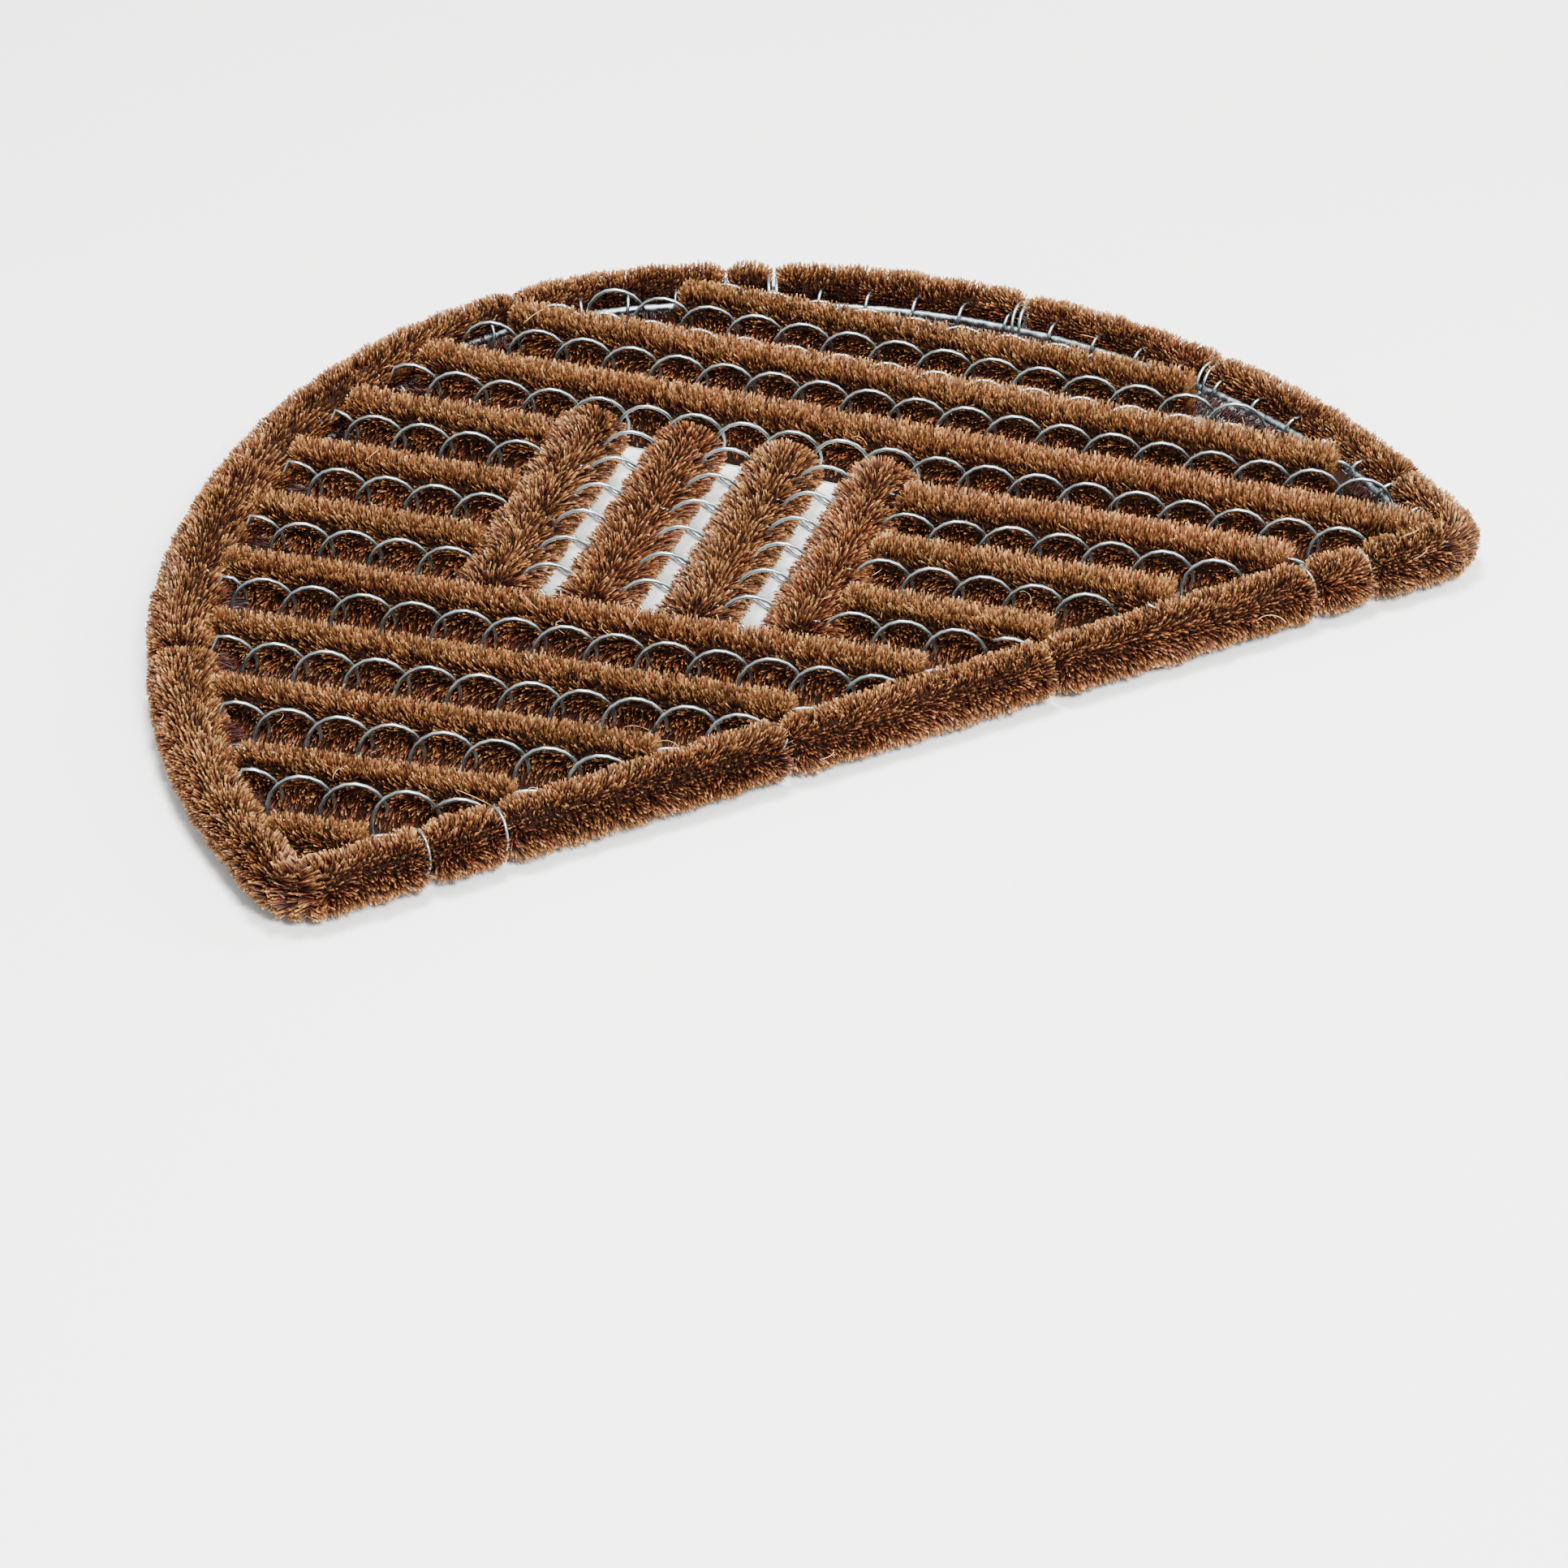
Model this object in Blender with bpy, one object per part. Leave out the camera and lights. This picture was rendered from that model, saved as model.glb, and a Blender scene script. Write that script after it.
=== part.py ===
"""Half round doormat: coir brush rows held by interlinked galvanised wire coils on a bent steel rod.

The mat lies flat with its straight edge along X and its arc towards +Y. The floor is z = 0 and
the origin is the middle of the mat's box at floor level. The brush rows run at 45 degrees to the
straight edge. The wire coils run across the rows, so each channel between two rows shows one
arch of every coil. A block of four round brushes in the middle runs along the coils instead.
"""
import math
import random

import bmesh
import bpy
from mathutils import Vector

# Whole mat, in metres
MAT_WIDTH = 0.750          # along the straight edge, bristle tip to bristle tip
MAT_DEPTH = 0.508          # straight edge to the top of the arc
SIDE_HEIGHT = 0.084        # short upright sides below the arc
ARC_FULLNESS = 1.89        # 2 is an ellipse, less is a little more pointed

# Rod that carries everything
ROD_RADIUS = 0.00225
ROD_INSET = 0.030          # outline to the rod's centre
ROD_HEIGHT = 0.019
ROD_BEND = 0.006           # bend radius at the two corners
CORNER_STEPS = 3
ARC_STEPS = 44
SHORTEST_SIDE = 0.012      # of the polygon that stands for the arc

# Lattice of rows and coils
ROW_SPACING = 0.05735
COIL_SPACING = ROW_SPACING / 2
ROW_ANGLE = math.radians(-45)
BLOCK_CENTRE = (-0.011, 0.235)   # from the middle of the straight edge
MIDDLE_ROW = 5             # the row that crosses the block's centre
LAST_ROW = 11
BLOCK_ROWS = (4, 5, 6)     # rows that stop at the block on both sides

# Brush row, across its length
ROW_TOP = 0.038
ROW_TOP_HALF = 0.0090
ROW_CLEAR = 0.0003         # half the space between two rows' spread bristles
ROW_FOOT_HALF = ROW_SPACING / 2 - ROW_CLEAR
ROW_FOOT_EDGE = 0.008      # height of the spread bristles half way to the next row
ROW_WAIST_HALF = 0.013
ROW_WAIST = 0.014
ROW_STATION = 0.045        # distance between cross-sections
ROW_DIP = 0.0008           # how uneven the trimmed top is
ROW_SWAY = 0.0007
FOOT_STEP = 0.001          # by which a foot draws in where the rod leaves it too short
# A row's end, by the numbers of its outline's corners: spread foot, its slope and the brush above
ROW_END_FACES = [(0, 1, 2, 7), (7, 2, 3, 6), (6, 3, 4, 5)]

# Round brushes of the block
BLOCK_BRUSHES = 4
BRUSH_HALF = 0.0183
BRUSH_TOP = 0.038
BRUSH_END = 0.011          # length of a brush's rounded end
BRUSH_STATIONS = 5
BRUSH_UNEVEN = 0.04
GAP = 0.0004               # clear space between neighbouring pieces

# Wire coils
WIRE_RADIUS = 0.00105
WIRE_TURN = 0.5            # turns the wire's three sides so that no edge lies level
COIL_HALF = 0.016          # half the coil's width
COIL_MIDDLE = 0.019
COIL_RISE = 0.0155         # middle to the top of the coil
COIL_LEAN = 0.0006         # each arch's right foot lies this far behind its middle
ARCH_REACH = 0.010         # an arch this far inside the rod still stands
ARCH_CLEAR = 0.0011        # foot of an arch above the edge of the spread bristles
ARCH_STEPS = 6
CUT_STEPS = 12             # finer steps in which an arch is cut at what it meets
SHORTEST_WIRE = 0.0015
COIL_STEPS = 8

# Rim brush
RIM_TOP = 0.037
RIM_STATION = 0.030
RIM_END_TAPER = 0.006
RIM_END_SIZE = 0.86
RIM_UNEVEN = 0.05
# Places where one rim brush ends and the next begins: x and y from the middle of the straight edge
RIM_JOINTS = [
    (-0.281, 0.000),
    (-0.238, 0.000),
    (-0.072, 0.000),
    (0.089, 0.000),
    (0.254, 0.000),
    (0.291, 0.000),
    (0.365, 0.078),
    (0.329, 0.234),
    (0.266, 0.347),
    (0.154, 0.455),
    (0.126, 0.464),
    (0.000, 0.492),
    (-0.319, 0.239),
]

LUMP = random.Random(7)


def clear_scene():
    for obj in list(bpy.data.objects):
        bpy.data.objects.remove(obj)


def new_collection(name):
    collection = bpy.data.collections.new(name)
    bpy.context.scene.collection.children.link(collection)
    return collection


def material(name, colour, roughness, metallic):
    """A Principled material of one colour."""
    mat = bpy.data.materials.new(name)
    mat.use_nodes = True
    shader = mat.node_tree.nodes["Principled BSDF"]
    shader.inputs["Base Color"].default_value = (*colour, 1)
    shader.inputs["Roughness"].default_value = roughness
    shader.inputs["Metallic"].default_value = metallic
    mat.diffuse_color = (*colour, 1)
    return mat


def add_object(name, mesh, mat, collection):
    obj = bpy.data.objects.new(name, mesh)
    collection.objects.link(obj)
    if mat:
        obj.data.materials.append(mat)
    return obj


# Plan shape

def mat_plan():
    """The rod's centre line in plan, anticlockwise, from the right end of the straight edge."""
    half = MAT_WIDTH / 2 - ROD_INSET
    rise = MAT_DEPTH - SIDE_HEIGHT - ROD_INSET
    corner = []
    for step in range(CORNER_STEPS + 1):
        turn = math.pi / 2 * step / CORNER_STEPS
        x = half - ROD_BEND + ROD_BEND * math.sin(turn)
        y = ROD_INSET + ROD_BEND - ROD_BEND * math.cos(turn)
        corner.append((x, y))
    points = list(corner)
    for step in range(ARC_STEPS + 1):
        turn = math.pi * step / ARC_STEPS
        x = half * math.copysign(abs(math.cos(turn)) ** (2 / ARC_FULLNESS), math.cos(turn))
        y = SIDE_HEIGHT + rise * math.sin(turn) ** (2 / ARC_FULLNESS)
        if math.dist(points[-1], (x, y)) > SHORTEST_SIDE:
            points.append((x, y))
    points += [(-x, y) for x, y in reversed(corner)]
    return [Vector(point) for point in points]


PLAN = mat_plan()


def offset_plan(distance):
    """PLAN moved outward by a distance, with every side parallel to its own."""
    moved = []
    count = len(PLAN)
    for index, point in enumerate(PLAN):
        before = (point - PLAN[index - 1]).normalized()
        after = (PLAN[(index + 1) % count] - point).normalized()
        out_before = Vector((before.y, -before.x))
        out_after = Vector((after.y, -after.x))
        bisector = (out_before + out_after).normalized()
        moved.append(point + bisector * distance / bisector.dot(out_before))
    return moved


def depth_inside(x, y):
    """How far a point lies inside the rod's centre line."""
    depth = math.inf
    for index, point in enumerate(PLAN):
        along = (PLAN[(index + 1) % len(PLAN)] - point).normalized()
        out = Vector((along.y, -along.x))
        depth = min(depth, (point - Vector((x, y))).dot(out))
    return depth


# Lattice places: u runs along the rows, v across them towards the arc

ALONG = Vector((math.cos(ROW_ANGLE), math.sin(ROW_ANGLE)))
ACROSS = Vector((-math.sin(ROW_ANGLE), math.cos(ROW_ANGLE)))
PLAN_MIDDLE = Vector((0, MAT_DEPTH / 2))


def lattice(u, v):
    """A place in the lattice as a plan point from the middle of the straight edge."""
    return Vector(BLOCK_CENTRE) + ALONG * u + ACROSS * v


def world(u, v, z):
    place = lattice(u, v) - PLAN_MIDDLE
    return Vector((place.x, place.y, z))


def row_v(row):
    return (MIDDLE_ROW - row) * ROW_SPACING


def span_inside(v, depth):
    """The stretch of u in which a line of constant v lies that deep inside the rod, or None."""
    low, high = -math.inf, math.inf
    origin = lattice(0, v)
    for index, point in enumerate(PLAN):
        edge = (PLAN[(index + 1) % len(PLAN)] - point).normalized()
        out = Vector((edge.y, -edge.x))
        room = (point - origin).dot(out) - depth
        rate = ALONG.dot(out)
        if rate > 0:
            high = min(high, room / rate)
        else:
            low = max(low, room / rate)
    return (low, high) if low < high else None


# Solids

def closed_mesh(name, build):
    """A bmesh as a mesh of triangles that all face outward."""
    bmesh.ops.triangulate(build, faces=build.faces[:])
    bmesh.ops.recalc_face_normals(build, faces=build.faces[:])
    if build.calc_volume(signed=True) < 0:
        bmesh.ops.reverse_faces(build, faces=build.faces[:])
    mesh = bpy.data.meshes.new(name)
    build.to_mesh(mesh)
    build.free()
    return mesh


def loft(name, sections, mat, collection, end_faces=None):
    """One closed body through cross-sections that have the same number of points."""
    build = bmesh.new()
    rings = [[build.verts.new(point) for point in section] for section in sections]
    for ring, following in zip(rings, rings[1:]):
        for index in range(len(ring)):
            after = (index + 1) % len(ring)
            build.faces.new((ring[index], ring[after], following[after], following[index]))
    for corners in end_faces or [range(len(rings[0]))]:
        build.faces.new([rings[0][corner] for corner in reversed(corners)])
        build.faces.new([rings[-1][corner] for corner in corners])
    return add_object(name, closed_mesh(name, build), mat, collection)


def tube_mesh(name, points, radius, sides, cyclic=False):
    """A closed tube along points, as a mesh."""
    curve = bpy.data.curves.new(name, "CURVE")
    curve.dimensions = "3D"
    curve.twist_mode = "MINIMUM"
    curve.bevel_depth = radius
    curve.bevel_resolution = (sides - 4) // 2
    curve.use_fill_caps = not cyclic
    spline = curve.splines.new("POLY")
    spline.points.add(len(points) - 1)
    for point, place in zip(spline.points, points):
        point.co = (*place, 1)
    spline.use_cyclic_u = cyclic
    obj = bpy.data.objects.new(name, curve)
    bpy.context.scene.collection.objects.link(obj)
    graph = bpy.context.evaluated_depsgraph_get()
    mesh = bpy.data.meshes.new_from_object(obj.evaluated_get(graph))
    bpy.data.objects.remove(obj)
    build = bmesh.new()
    build.from_mesh(mesh)
    bmesh.ops.remove_doubles(build, verts=build.verts[:], dist=0.00001)
    return closed_mesh(name, build)


def three_sided_wire(build, points, side):
    """A closed three-sided wire along points, added to a bmesh. The side vector is never along it."""
    rings = []
    for index, point in enumerate(points):
        ahead = points[min(index + 1, len(points) - 1)]
        behind = points[max(index - 1, 0)]
        run = (ahead - behind).normalized()
        across = (side - run * side.dot(run)).normalized()
        up = run.cross(across)
        ring = []
        for corner in range(3):
            turn = math.tau * corner / 3 + WIRE_TURN
            outward = across * math.cos(turn) + up * math.sin(turn)
            ring.append(build.verts.new(point + outward * WIRE_RADIUS))
        rings.append(ring)
    for ring, following in zip(rings, rings[1:]):
        for corner in range(3):
            after = (corner + 1) % 3
            build.faces.new((ring[corner], ring[after], following[after], following[corner]))
    build.faces.new(list(reversed(rings[0])))
    build.faces.new(rings[-1])


def wire_mesh(name, points, side):
    build = bmesh.new()
    three_sided_wire(build, points, side)
    return closed_mesh(name, build)


def boolean(obj, other, operation):
    modifier = obj.modifiers.new(operation.lower(), "BOOLEAN")
    modifier.operation = operation
    modifier.object = other


def row_outline(row):
    """A brush row's cross-section: narrow trimmed top on a foot of spread bristles."""
    reach = {}
    for side in (-1, 1):
        reach[side] = ROW_FOOT_HALF
        while not long_enough(row_v(row) + side * reach[side]):
            reach[side] -= FOOT_STEP
    return [
        (-reach[-1], 0),
        (reach[1], 0),
        (reach[1], ROW_FOOT_EDGE),
        (ROW_WAIST_HALF, ROW_WAIST),
        (ROW_TOP_HALF, ROW_TOP),
        (-ROW_TOP_HALF, ROW_TOP),
        (-ROW_WAIST_HALF, ROW_WAIST),
        (-reach[-1], ROW_FOOT_EDGE),
    ]


def long_enough(v):
    span = span_inside(v, ROD_RADIUS + GAP)
    return span is not None and span[1] - span[0] > ROW_STATION


def row_limits(row, across):
    """Where one line of a row ends: the foot follows the rod, the trimmed top is cut square."""
    v = row_v(row)
    if abs(across) > ROW_TOP_HALF:
        return span_inside(v + across, ROD_RADIUS + GAP)
    edges = [span_inside(v + side * ROW_TOP_HALF, ROD_RADIUS + 4 * GAP) for side in (-1, 1)]
    return max(edge[0] for edge in edges), min(edge[1] for edge in edges)


def brush_row(name, row, low, high, mat, collection):
    """A row that fills the rod's inside between two limits of u."""
    outline = row_outline(row)
    ends = [row_limits(row, across) for across, height in outline]
    ends = [(max(low, first), min(high, last)) for first, last in ends]
    steps = max(2, round((ends[4][1] - ends[4][0]) / ROW_STATION))
    sections = []
    for step in range(steps + 1):
        dip = LUMP.uniform(0, ROW_DIP)
        sway = LUMP.uniform(-ROW_SWAY, ROW_SWAY)
        section = []
        for (across, height), (first, last) in zip(outline, ends):
            if height == ROW_TOP:
                across += sway
                height -= dip
            section.append(world(first + (last - first) * step / steps, row_v(row) + across, height))
        sections.append(section)
    return loft(name, sections, mat, collection, ROW_END_FACES)


def block_half_width():
    return (BLOCK_BRUSHES - 1) * ROW_SPACING / 2 + BRUSH_HALF


def brush_rows(mat, collection):
    stop = block_half_width() + GAP
    for row in range(1, LAST_ROW + 1):
        name = f"brush_row_{row:02d}"
        if row in BLOCK_ROWS:
            brush_row(f"{name}_left", row, -MAT_WIDTH, -stop, mat, collection)
            brush_row(f"{name}_right", row, stop, MAT_WIDTH, mat, collection)
        else:
            brush_row(name, row, -MAT_WIDTH, MAT_WIDTH, mat, collection)


def block_brush(number, mat, collection):
    """A round brush of the block, with rounded ends and a flat underside."""
    u = (number - (BLOCK_BRUSHES - 1) / 2) * ROW_SPACING
    far_end = 1.5 * ROW_SPACING - COIL_LEAN - WIRE_RADIUS - GAP
    near_end = row_v(BLOCK_ROWS[-1] + 1) + ROW_FOOT_HALF + GAP
    outline = [(0.45, 0), (0.86, 0.16), (1, 0.5), (0.82, 0.82), (0.38, 0.985)]
    ends = [(0, 0.50), (0.004, 0.80), (BRUSH_END, 0.96)]
    stations = [(near_end + inward, size) for inward, size in ends]
    for step in range(1, BRUSH_STATIONS):
        share = step / BRUSH_STATIONS
        place = near_end + BRUSH_END + (far_end - near_end - 2 * BRUSH_END) * share
        stations.append((place, 1 - LUMP.uniform(0, BRUSH_UNEVEN)))
    stations += [(far_end - inward, size) for inward, size in reversed(ends)]
    sections = []
    for v, size in stations:
        half = [(x * BRUSH_HALF * size, z * BRUSH_TOP * (0.5 + size / 2)) for x, z in outline]
        ring = half + [(-x, z) for x, z in reversed(half)]
        sections.append([world(u + x, v, z) for x, z in ring])
    return loft(f"block_brush_{number + 1}", sections, mat, collection)


def block_side(z):
    """Half width of a block brush at a height."""
    return BRUSH_HALF * math.sqrt(max(0, 1 - ((z - BRUSH_TOP / 2) / (BRUSH_TOP / 2)) ** 2))


def arch_points(u, v):
    """One arch of wire: two upright feet and a half ellipse, right foot first."""
    foot = ROW_FOOT_EDGE + ARCH_CLEAR
    shape = [(COIL_HALF, foot)]
    for step in range(ARCH_STEPS + 1):
        turn = math.pi * step / ARCH_STEPS
        shape.append((COIL_HALF * math.cos(turn), COIL_MIDDLE + COIL_RISE * math.sin(turn)))
    shape.append((-COIL_HALF, foot))
    return [(u + x, v + COIL_LEAN * x / COIL_HALF, z) for x, z in shape]


def wire_fits(u, v, z):
    """True where a wire's centre clears the rod and the block's outer brushes."""
    place = lattice(u, v)
    if depth_inside(place.x, place.y) < ROD_RADIUS + WIRE_RADIUS + GAP:
        return False
    if abs(v) > 1.5 * ROW_SPACING - 0.001:
        return True
    side = (BLOCK_BRUSHES - 1) * ROW_SPACING / 2 + block_side(z)
    return abs(u) > side + WIRE_RADIUS + GAP


def clipped(points):
    """The stretch of an arch that fits, cut where it meets its neighbour."""
    kept = []
    for start, end in zip(points, points[1:]):
        for step in range(CUT_STEPS):
            place = tuple(a + (b - a) * step / CUT_STEPS for a, b in zip(start, end))
            kept.append((place, step == 0, wire_fits(*place)))
    kept.append((points[-1], True, wire_fits(*points[-1])))
    result = []
    for index, (place, corner, fits) in enumerate(kept):
        edge = any(not kept[i][2] for i in (index - 1, index + 1) if 0 <= i < len(kept))
        if fits and (corner or edge):
            if not result or math.dist(result[-1], place) > SHORTEST_WIRE:
                result.append(place)
    return result


def wire_channel(name, channel, columns, mat, collection, scratch):
    """The arches that stand in one channel, each crossing the next, as one body."""
    v = (MIDDLE_ROW - 0.5 - channel) * ROW_SPACING
    chain = None
    for column in columns:
        points = clipped(arch_points(column * COIL_SPACING, v))
        places = [world(*point) for point in points]
        side = Vector((*ACROSS, 0))
        mesh = wire_mesh(f"{name}_arch", places, side)
        if chain is None:
            chain = add_object(name, mesh, mat, collection)
        else:
            arch = add_object(f"{name}_arch_{column}", mesh, None, scratch)
            arch.hide_render = True
            arch.display_type = "WIRE"
            boolean(chain, arch, "UNION")
    return chain


def standing_columns(channel):
    """Coils whose arch stands in a channel, left to right, as runs without the block."""
    v = (MIDDLE_ROW - 0.5 - channel) * ROW_SPACING
    limit = int(MAT_WIDTH / COIL_SPACING)
    inside_block = abs(v) < 1.5 * ROW_SPACING + 0.001 and channel != BLOCK_ROWS[0] - 1
    runs = [[], []]
    for column in range(-limit, limit):
        u = column * COIL_SPACING
        place = lattice(u, v)
        if depth_inside(place.x, place.y) < ARCH_REACH:
            continue
        if inside_block and abs(column) <= BLOCK_BRUSHES - 1:
            continue
        runs[1 if inside_block and column > 0 else 0].append(column)
    return [run for run in runs if run]


def wire_channels(mat, collection, scratch):
    for channel in range(1, LAST_ROW):
        runs = standing_columns(channel)
        for run, side in zip(runs, ("left", "right")):
            name = f"wire_channel_{channel:02d}"
            if len(runs) > 1:
                name += f"_{side}"
            wire_channel(name, channel, run, mat, collection, scratch)


def gap_coil(number, mat, collection):
    """The coil that shows in a gap of the block, as wide as the gap lets it."""
    u = (number - (BLOCK_BRUSHES - 2) / 2) * ROW_SPACING
    half = ROW_SPACING / 2 - BRUSH_HALF - WIRE_RADIUS - GAP
    far = 1.5 * ROW_SPACING - COIL_LEAN - 2 * WIRE_RADIUS - GAP
    near = -1.5 * ROW_SPACING + WIRE_RADIUS + GAP
    turns = (far - near) / COIL_SPACING
    places = []
    for step in range(int(turns * COIL_STEPS) + 1):
        turn = math.tau * step / COIL_STEPS
        v = far - COIL_SPACING * step / COIL_STEPS
        places.append(world(u + half * math.cos(turn), v, COIL_MIDDLE + COIL_RISE * math.sin(turn)))
    mesh = wire_mesh(f"gap_coil_{number + 1}", places, Vector((*ACROSS, 0)))
    return add_object(f"gap_coil_{number + 1}", mesh, mat, collection)


# Rim

def plan_lengths():
    """Distance along PLAN at each of its points, ending with the whole length."""
    lengths = [0.0]
    for index, point in enumerate(PLAN):
        lengths.append(lengths[-1] + (PLAN[(index + 1) % len(PLAN)] - point).length)
    return lengths


LENGTHS = plan_lengths()


def nearest_length(x, y):
    """Distance along PLAN of the place nearest to a point."""
    best = (math.inf, 0.0)
    for index, point in enumerate(PLAN):
        step = PLAN[(index + 1) % len(PLAN)] - point
        share = max(0.0, min(1.0, (Vector((x, y)) - point).dot(step) / step.length_squared))
        gap = (point + step * share - Vector((x, y))).length
        best = min(best, (gap, LENGTHS[index] + step.length * share))
    return best[1]


def rim_place(length, outward):
    """A point beside PLAN, so that it keeps parallel to the rod between corners."""
    length %= LENGTHS[-1]
    index = max(i for i in range(len(PLAN)) if LENGTHS[i] <= length)
    share = (length - LENGTHS[index]) / (LENGTHS[index + 1] - LENGTHS[index])
    ring = offset_plan(outward)
    return ring[index].lerp(ring[(index + 1) % len(ring)], share)


def rim_section(length, size):
    """Cross-section of the rim brush: round outside, upright face at the rod, flat underside."""
    inner = ROD_RADIUS + GAP
    width = (ROD_INSET - inner) * size
    top = RIM_TOP * (0.5 + size / 2)
    outline = [
        (0, 0.02), (0, 0.80), (0.18, 0.95), (0.42, 1), (0.70, 0.90),
        (0.93, 0.66), (1, 0.40), (0.90, 0.12), (0.70, 0), (0.08, 0),
    ]
    section = []
    for share, height in outline:
        place = rim_place(length, inner + share * width) - PLAN_MIDDLE
        section.append((place.x, place.y, height * top))
    return section


def rim_brush(number, start, end, mat, collection):
    """A rim brush between two lengths along the rod, a little thinner at its ends."""
    twice_round = LENGTHS + [LENGTHS[-1] + more for more in LENGTHS]
    first, last = start + 2 * RIM_END_TAPER, end - 2 * RIM_END_TAPER
    inside = [length for length in twice_round if first < length < last]
    marks = [start + GAP, start + RIM_END_TAPER] + inside + [end - RIM_END_TAPER, end - GAP]
    filled = [marks[0]]
    for mark in marks[1:]:
        parts = max(1, round((mark - filled[-1]) / RIM_STATION))
        filled += [filled[-1] + (mark - filled[-1]) * (part + 1) / parts for part in range(parts)]
    sections = []
    for length in filled:
        at_end = length in (filled[0], filled[-1])
        size = RIM_END_SIZE if at_end else 1 - LUMP.uniform(0, RIM_UNEVEN)
        sections.append(rim_section(length, size))
    return loft(f"rim_brush_{number:02d}", sections, mat, collection)


def rim_brushes(mat, collection):
    lengths = sorted(nearest_length(x, y) for x, y in RIM_JOINTS)
    for number, start in enumerate(lengths):
        end = lengths[(number + 1) % len(lengths)]
        if end <= start:
            end += LENGTHS[-1]
        rim_brush(number + 1, start, end, mat, collection)


def frame_rod(mat, collection):
    places = [(p.x - PLAN_MIDDLE.x, p.y - PLAN_MIDDLE.y, ROD_HEIGHT) for p in PLAN]
    mesh = tube_mesh("frame_rod", places, ROD_RADIUS, 6, cyclic=True)
    mesh.shade_smooth()
    return add_object("frame_rod", mesh, mat, collection)


def main():
    clear_scene()
    parts = new_collection("half_round_doormat")
    scratch = new_collection("cutters")
    coir = material("coir_bristle", (0.30, 0.14, 0.055), 0.9, 0.0)
    wire = material("galvanised_wire", (0.55, 0.60, 0.60), 0.35, 1.0)
    rod = material("galvanised_rod", (0.45, 0.52, 0.53), 0.4, 1.0)

    frame_rod(rod, parts)
    rim_brushes(coir, parts)
    brush_rows(coir, parts)
    for number in range(BLOCK_BRUSHES):
        block_brush(number, coir, parts)
    wire_channels(wire, parts, scratch)
    for number in range(BLOCK_BRUSHES - 1):
        gap_coil(number, wire, parts)


main()
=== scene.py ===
"""Looks of the half round doormat: coir bristles, interlinked galvanised wire coils and a bent rod.

The mat lies on z = 0 with its straight edge facing -Y and its arc +Y. Brush rows run at 45 degrees to
the straight edge (direction u), the wire coils run across them (direction v, towards the arc). A place
across a row is counted in v from the row's middle plane.
"""
import math

import bpy
import numpy as np
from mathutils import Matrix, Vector

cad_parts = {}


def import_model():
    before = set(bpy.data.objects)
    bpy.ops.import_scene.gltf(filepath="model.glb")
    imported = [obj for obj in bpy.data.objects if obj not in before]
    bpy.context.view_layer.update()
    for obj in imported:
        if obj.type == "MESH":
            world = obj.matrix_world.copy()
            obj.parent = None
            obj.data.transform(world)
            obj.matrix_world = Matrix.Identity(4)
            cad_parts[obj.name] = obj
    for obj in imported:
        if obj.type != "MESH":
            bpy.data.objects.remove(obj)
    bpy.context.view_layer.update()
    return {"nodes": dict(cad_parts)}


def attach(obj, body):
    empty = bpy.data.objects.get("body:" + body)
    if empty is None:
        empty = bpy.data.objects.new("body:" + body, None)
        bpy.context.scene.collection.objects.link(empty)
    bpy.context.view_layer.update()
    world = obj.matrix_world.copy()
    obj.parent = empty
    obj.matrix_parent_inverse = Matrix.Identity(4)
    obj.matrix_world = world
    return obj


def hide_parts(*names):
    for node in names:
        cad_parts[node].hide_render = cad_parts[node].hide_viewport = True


MM = 0.001

# Whole mat, as in the part's source
MAT_WIDTH = 0.750
MAT_DEPTH = 0.508
SIDE_HEIGHT = 0.084
ARC_FULLNESS = 1.89

# Rod; on the right of the arc it runs further in under the rim
ROD_RADIUS = 0.00225
ROD_INSET = 0.030
ROD_HEIGHT = 0.019
ROD_BEND = 0.006
SAG_DEPTH = 6 * MM
SAG_PLACE = 0.13
SAG_WIDTH = 0.10
SAG_WAY = np.array([0.35, 0.94])                       # outward in plan; the sag goes against it

# Lattice of rows and coils
ROW_SPACING = 0.05735
COIL_PITCH = ROW_SPACING / 2
ROW_ANGLE = math.radians(-45)
BLOCK_CENTRE = np.array([-0.011, 0.235 - MAT_DEPTH / 2])
MIDDLE_ROW = 5
LAST_ROW = 11
BLOCK_ROWS = (4, 5, 6)
ROW_PAST_BLOCK = BLOCK_ROWS[0] - 1
ALONG = np.array([math.cos(ROW_ANGLE), math.sin(ROW_ANGLE)])
ACROSS = np.array([-math.sin(ROW_ANGLE), math.cos(ROW_ANGLE)])

# How far the lattice is out of true, in millimetres at one warp run from the block's middle
WARP_RUN = 0.3
U_WARP_RIGHT = 4.3
U_WARP_CORNER = 3.9
V_WARP_ALL = -2
V_WARP_RIGHT = -2
V_WARP_FAR = 4
V_WARP_CORNER = -19        # the rows lie closer together towards the right
DENT = -7                  # one channel is pushed in beside the block
DENT_PLACE = (0.12, 0.035)
DENT_SIZE = (0.05, 0.03)

# Places that are tried along a row and along a coil, every half millimetre
PLACES_U = np.arange(-0.45, 0.45, 0.5 * MM)
PLACES_V = np.linspace(-0.6, 0.6, 2401)

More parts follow.
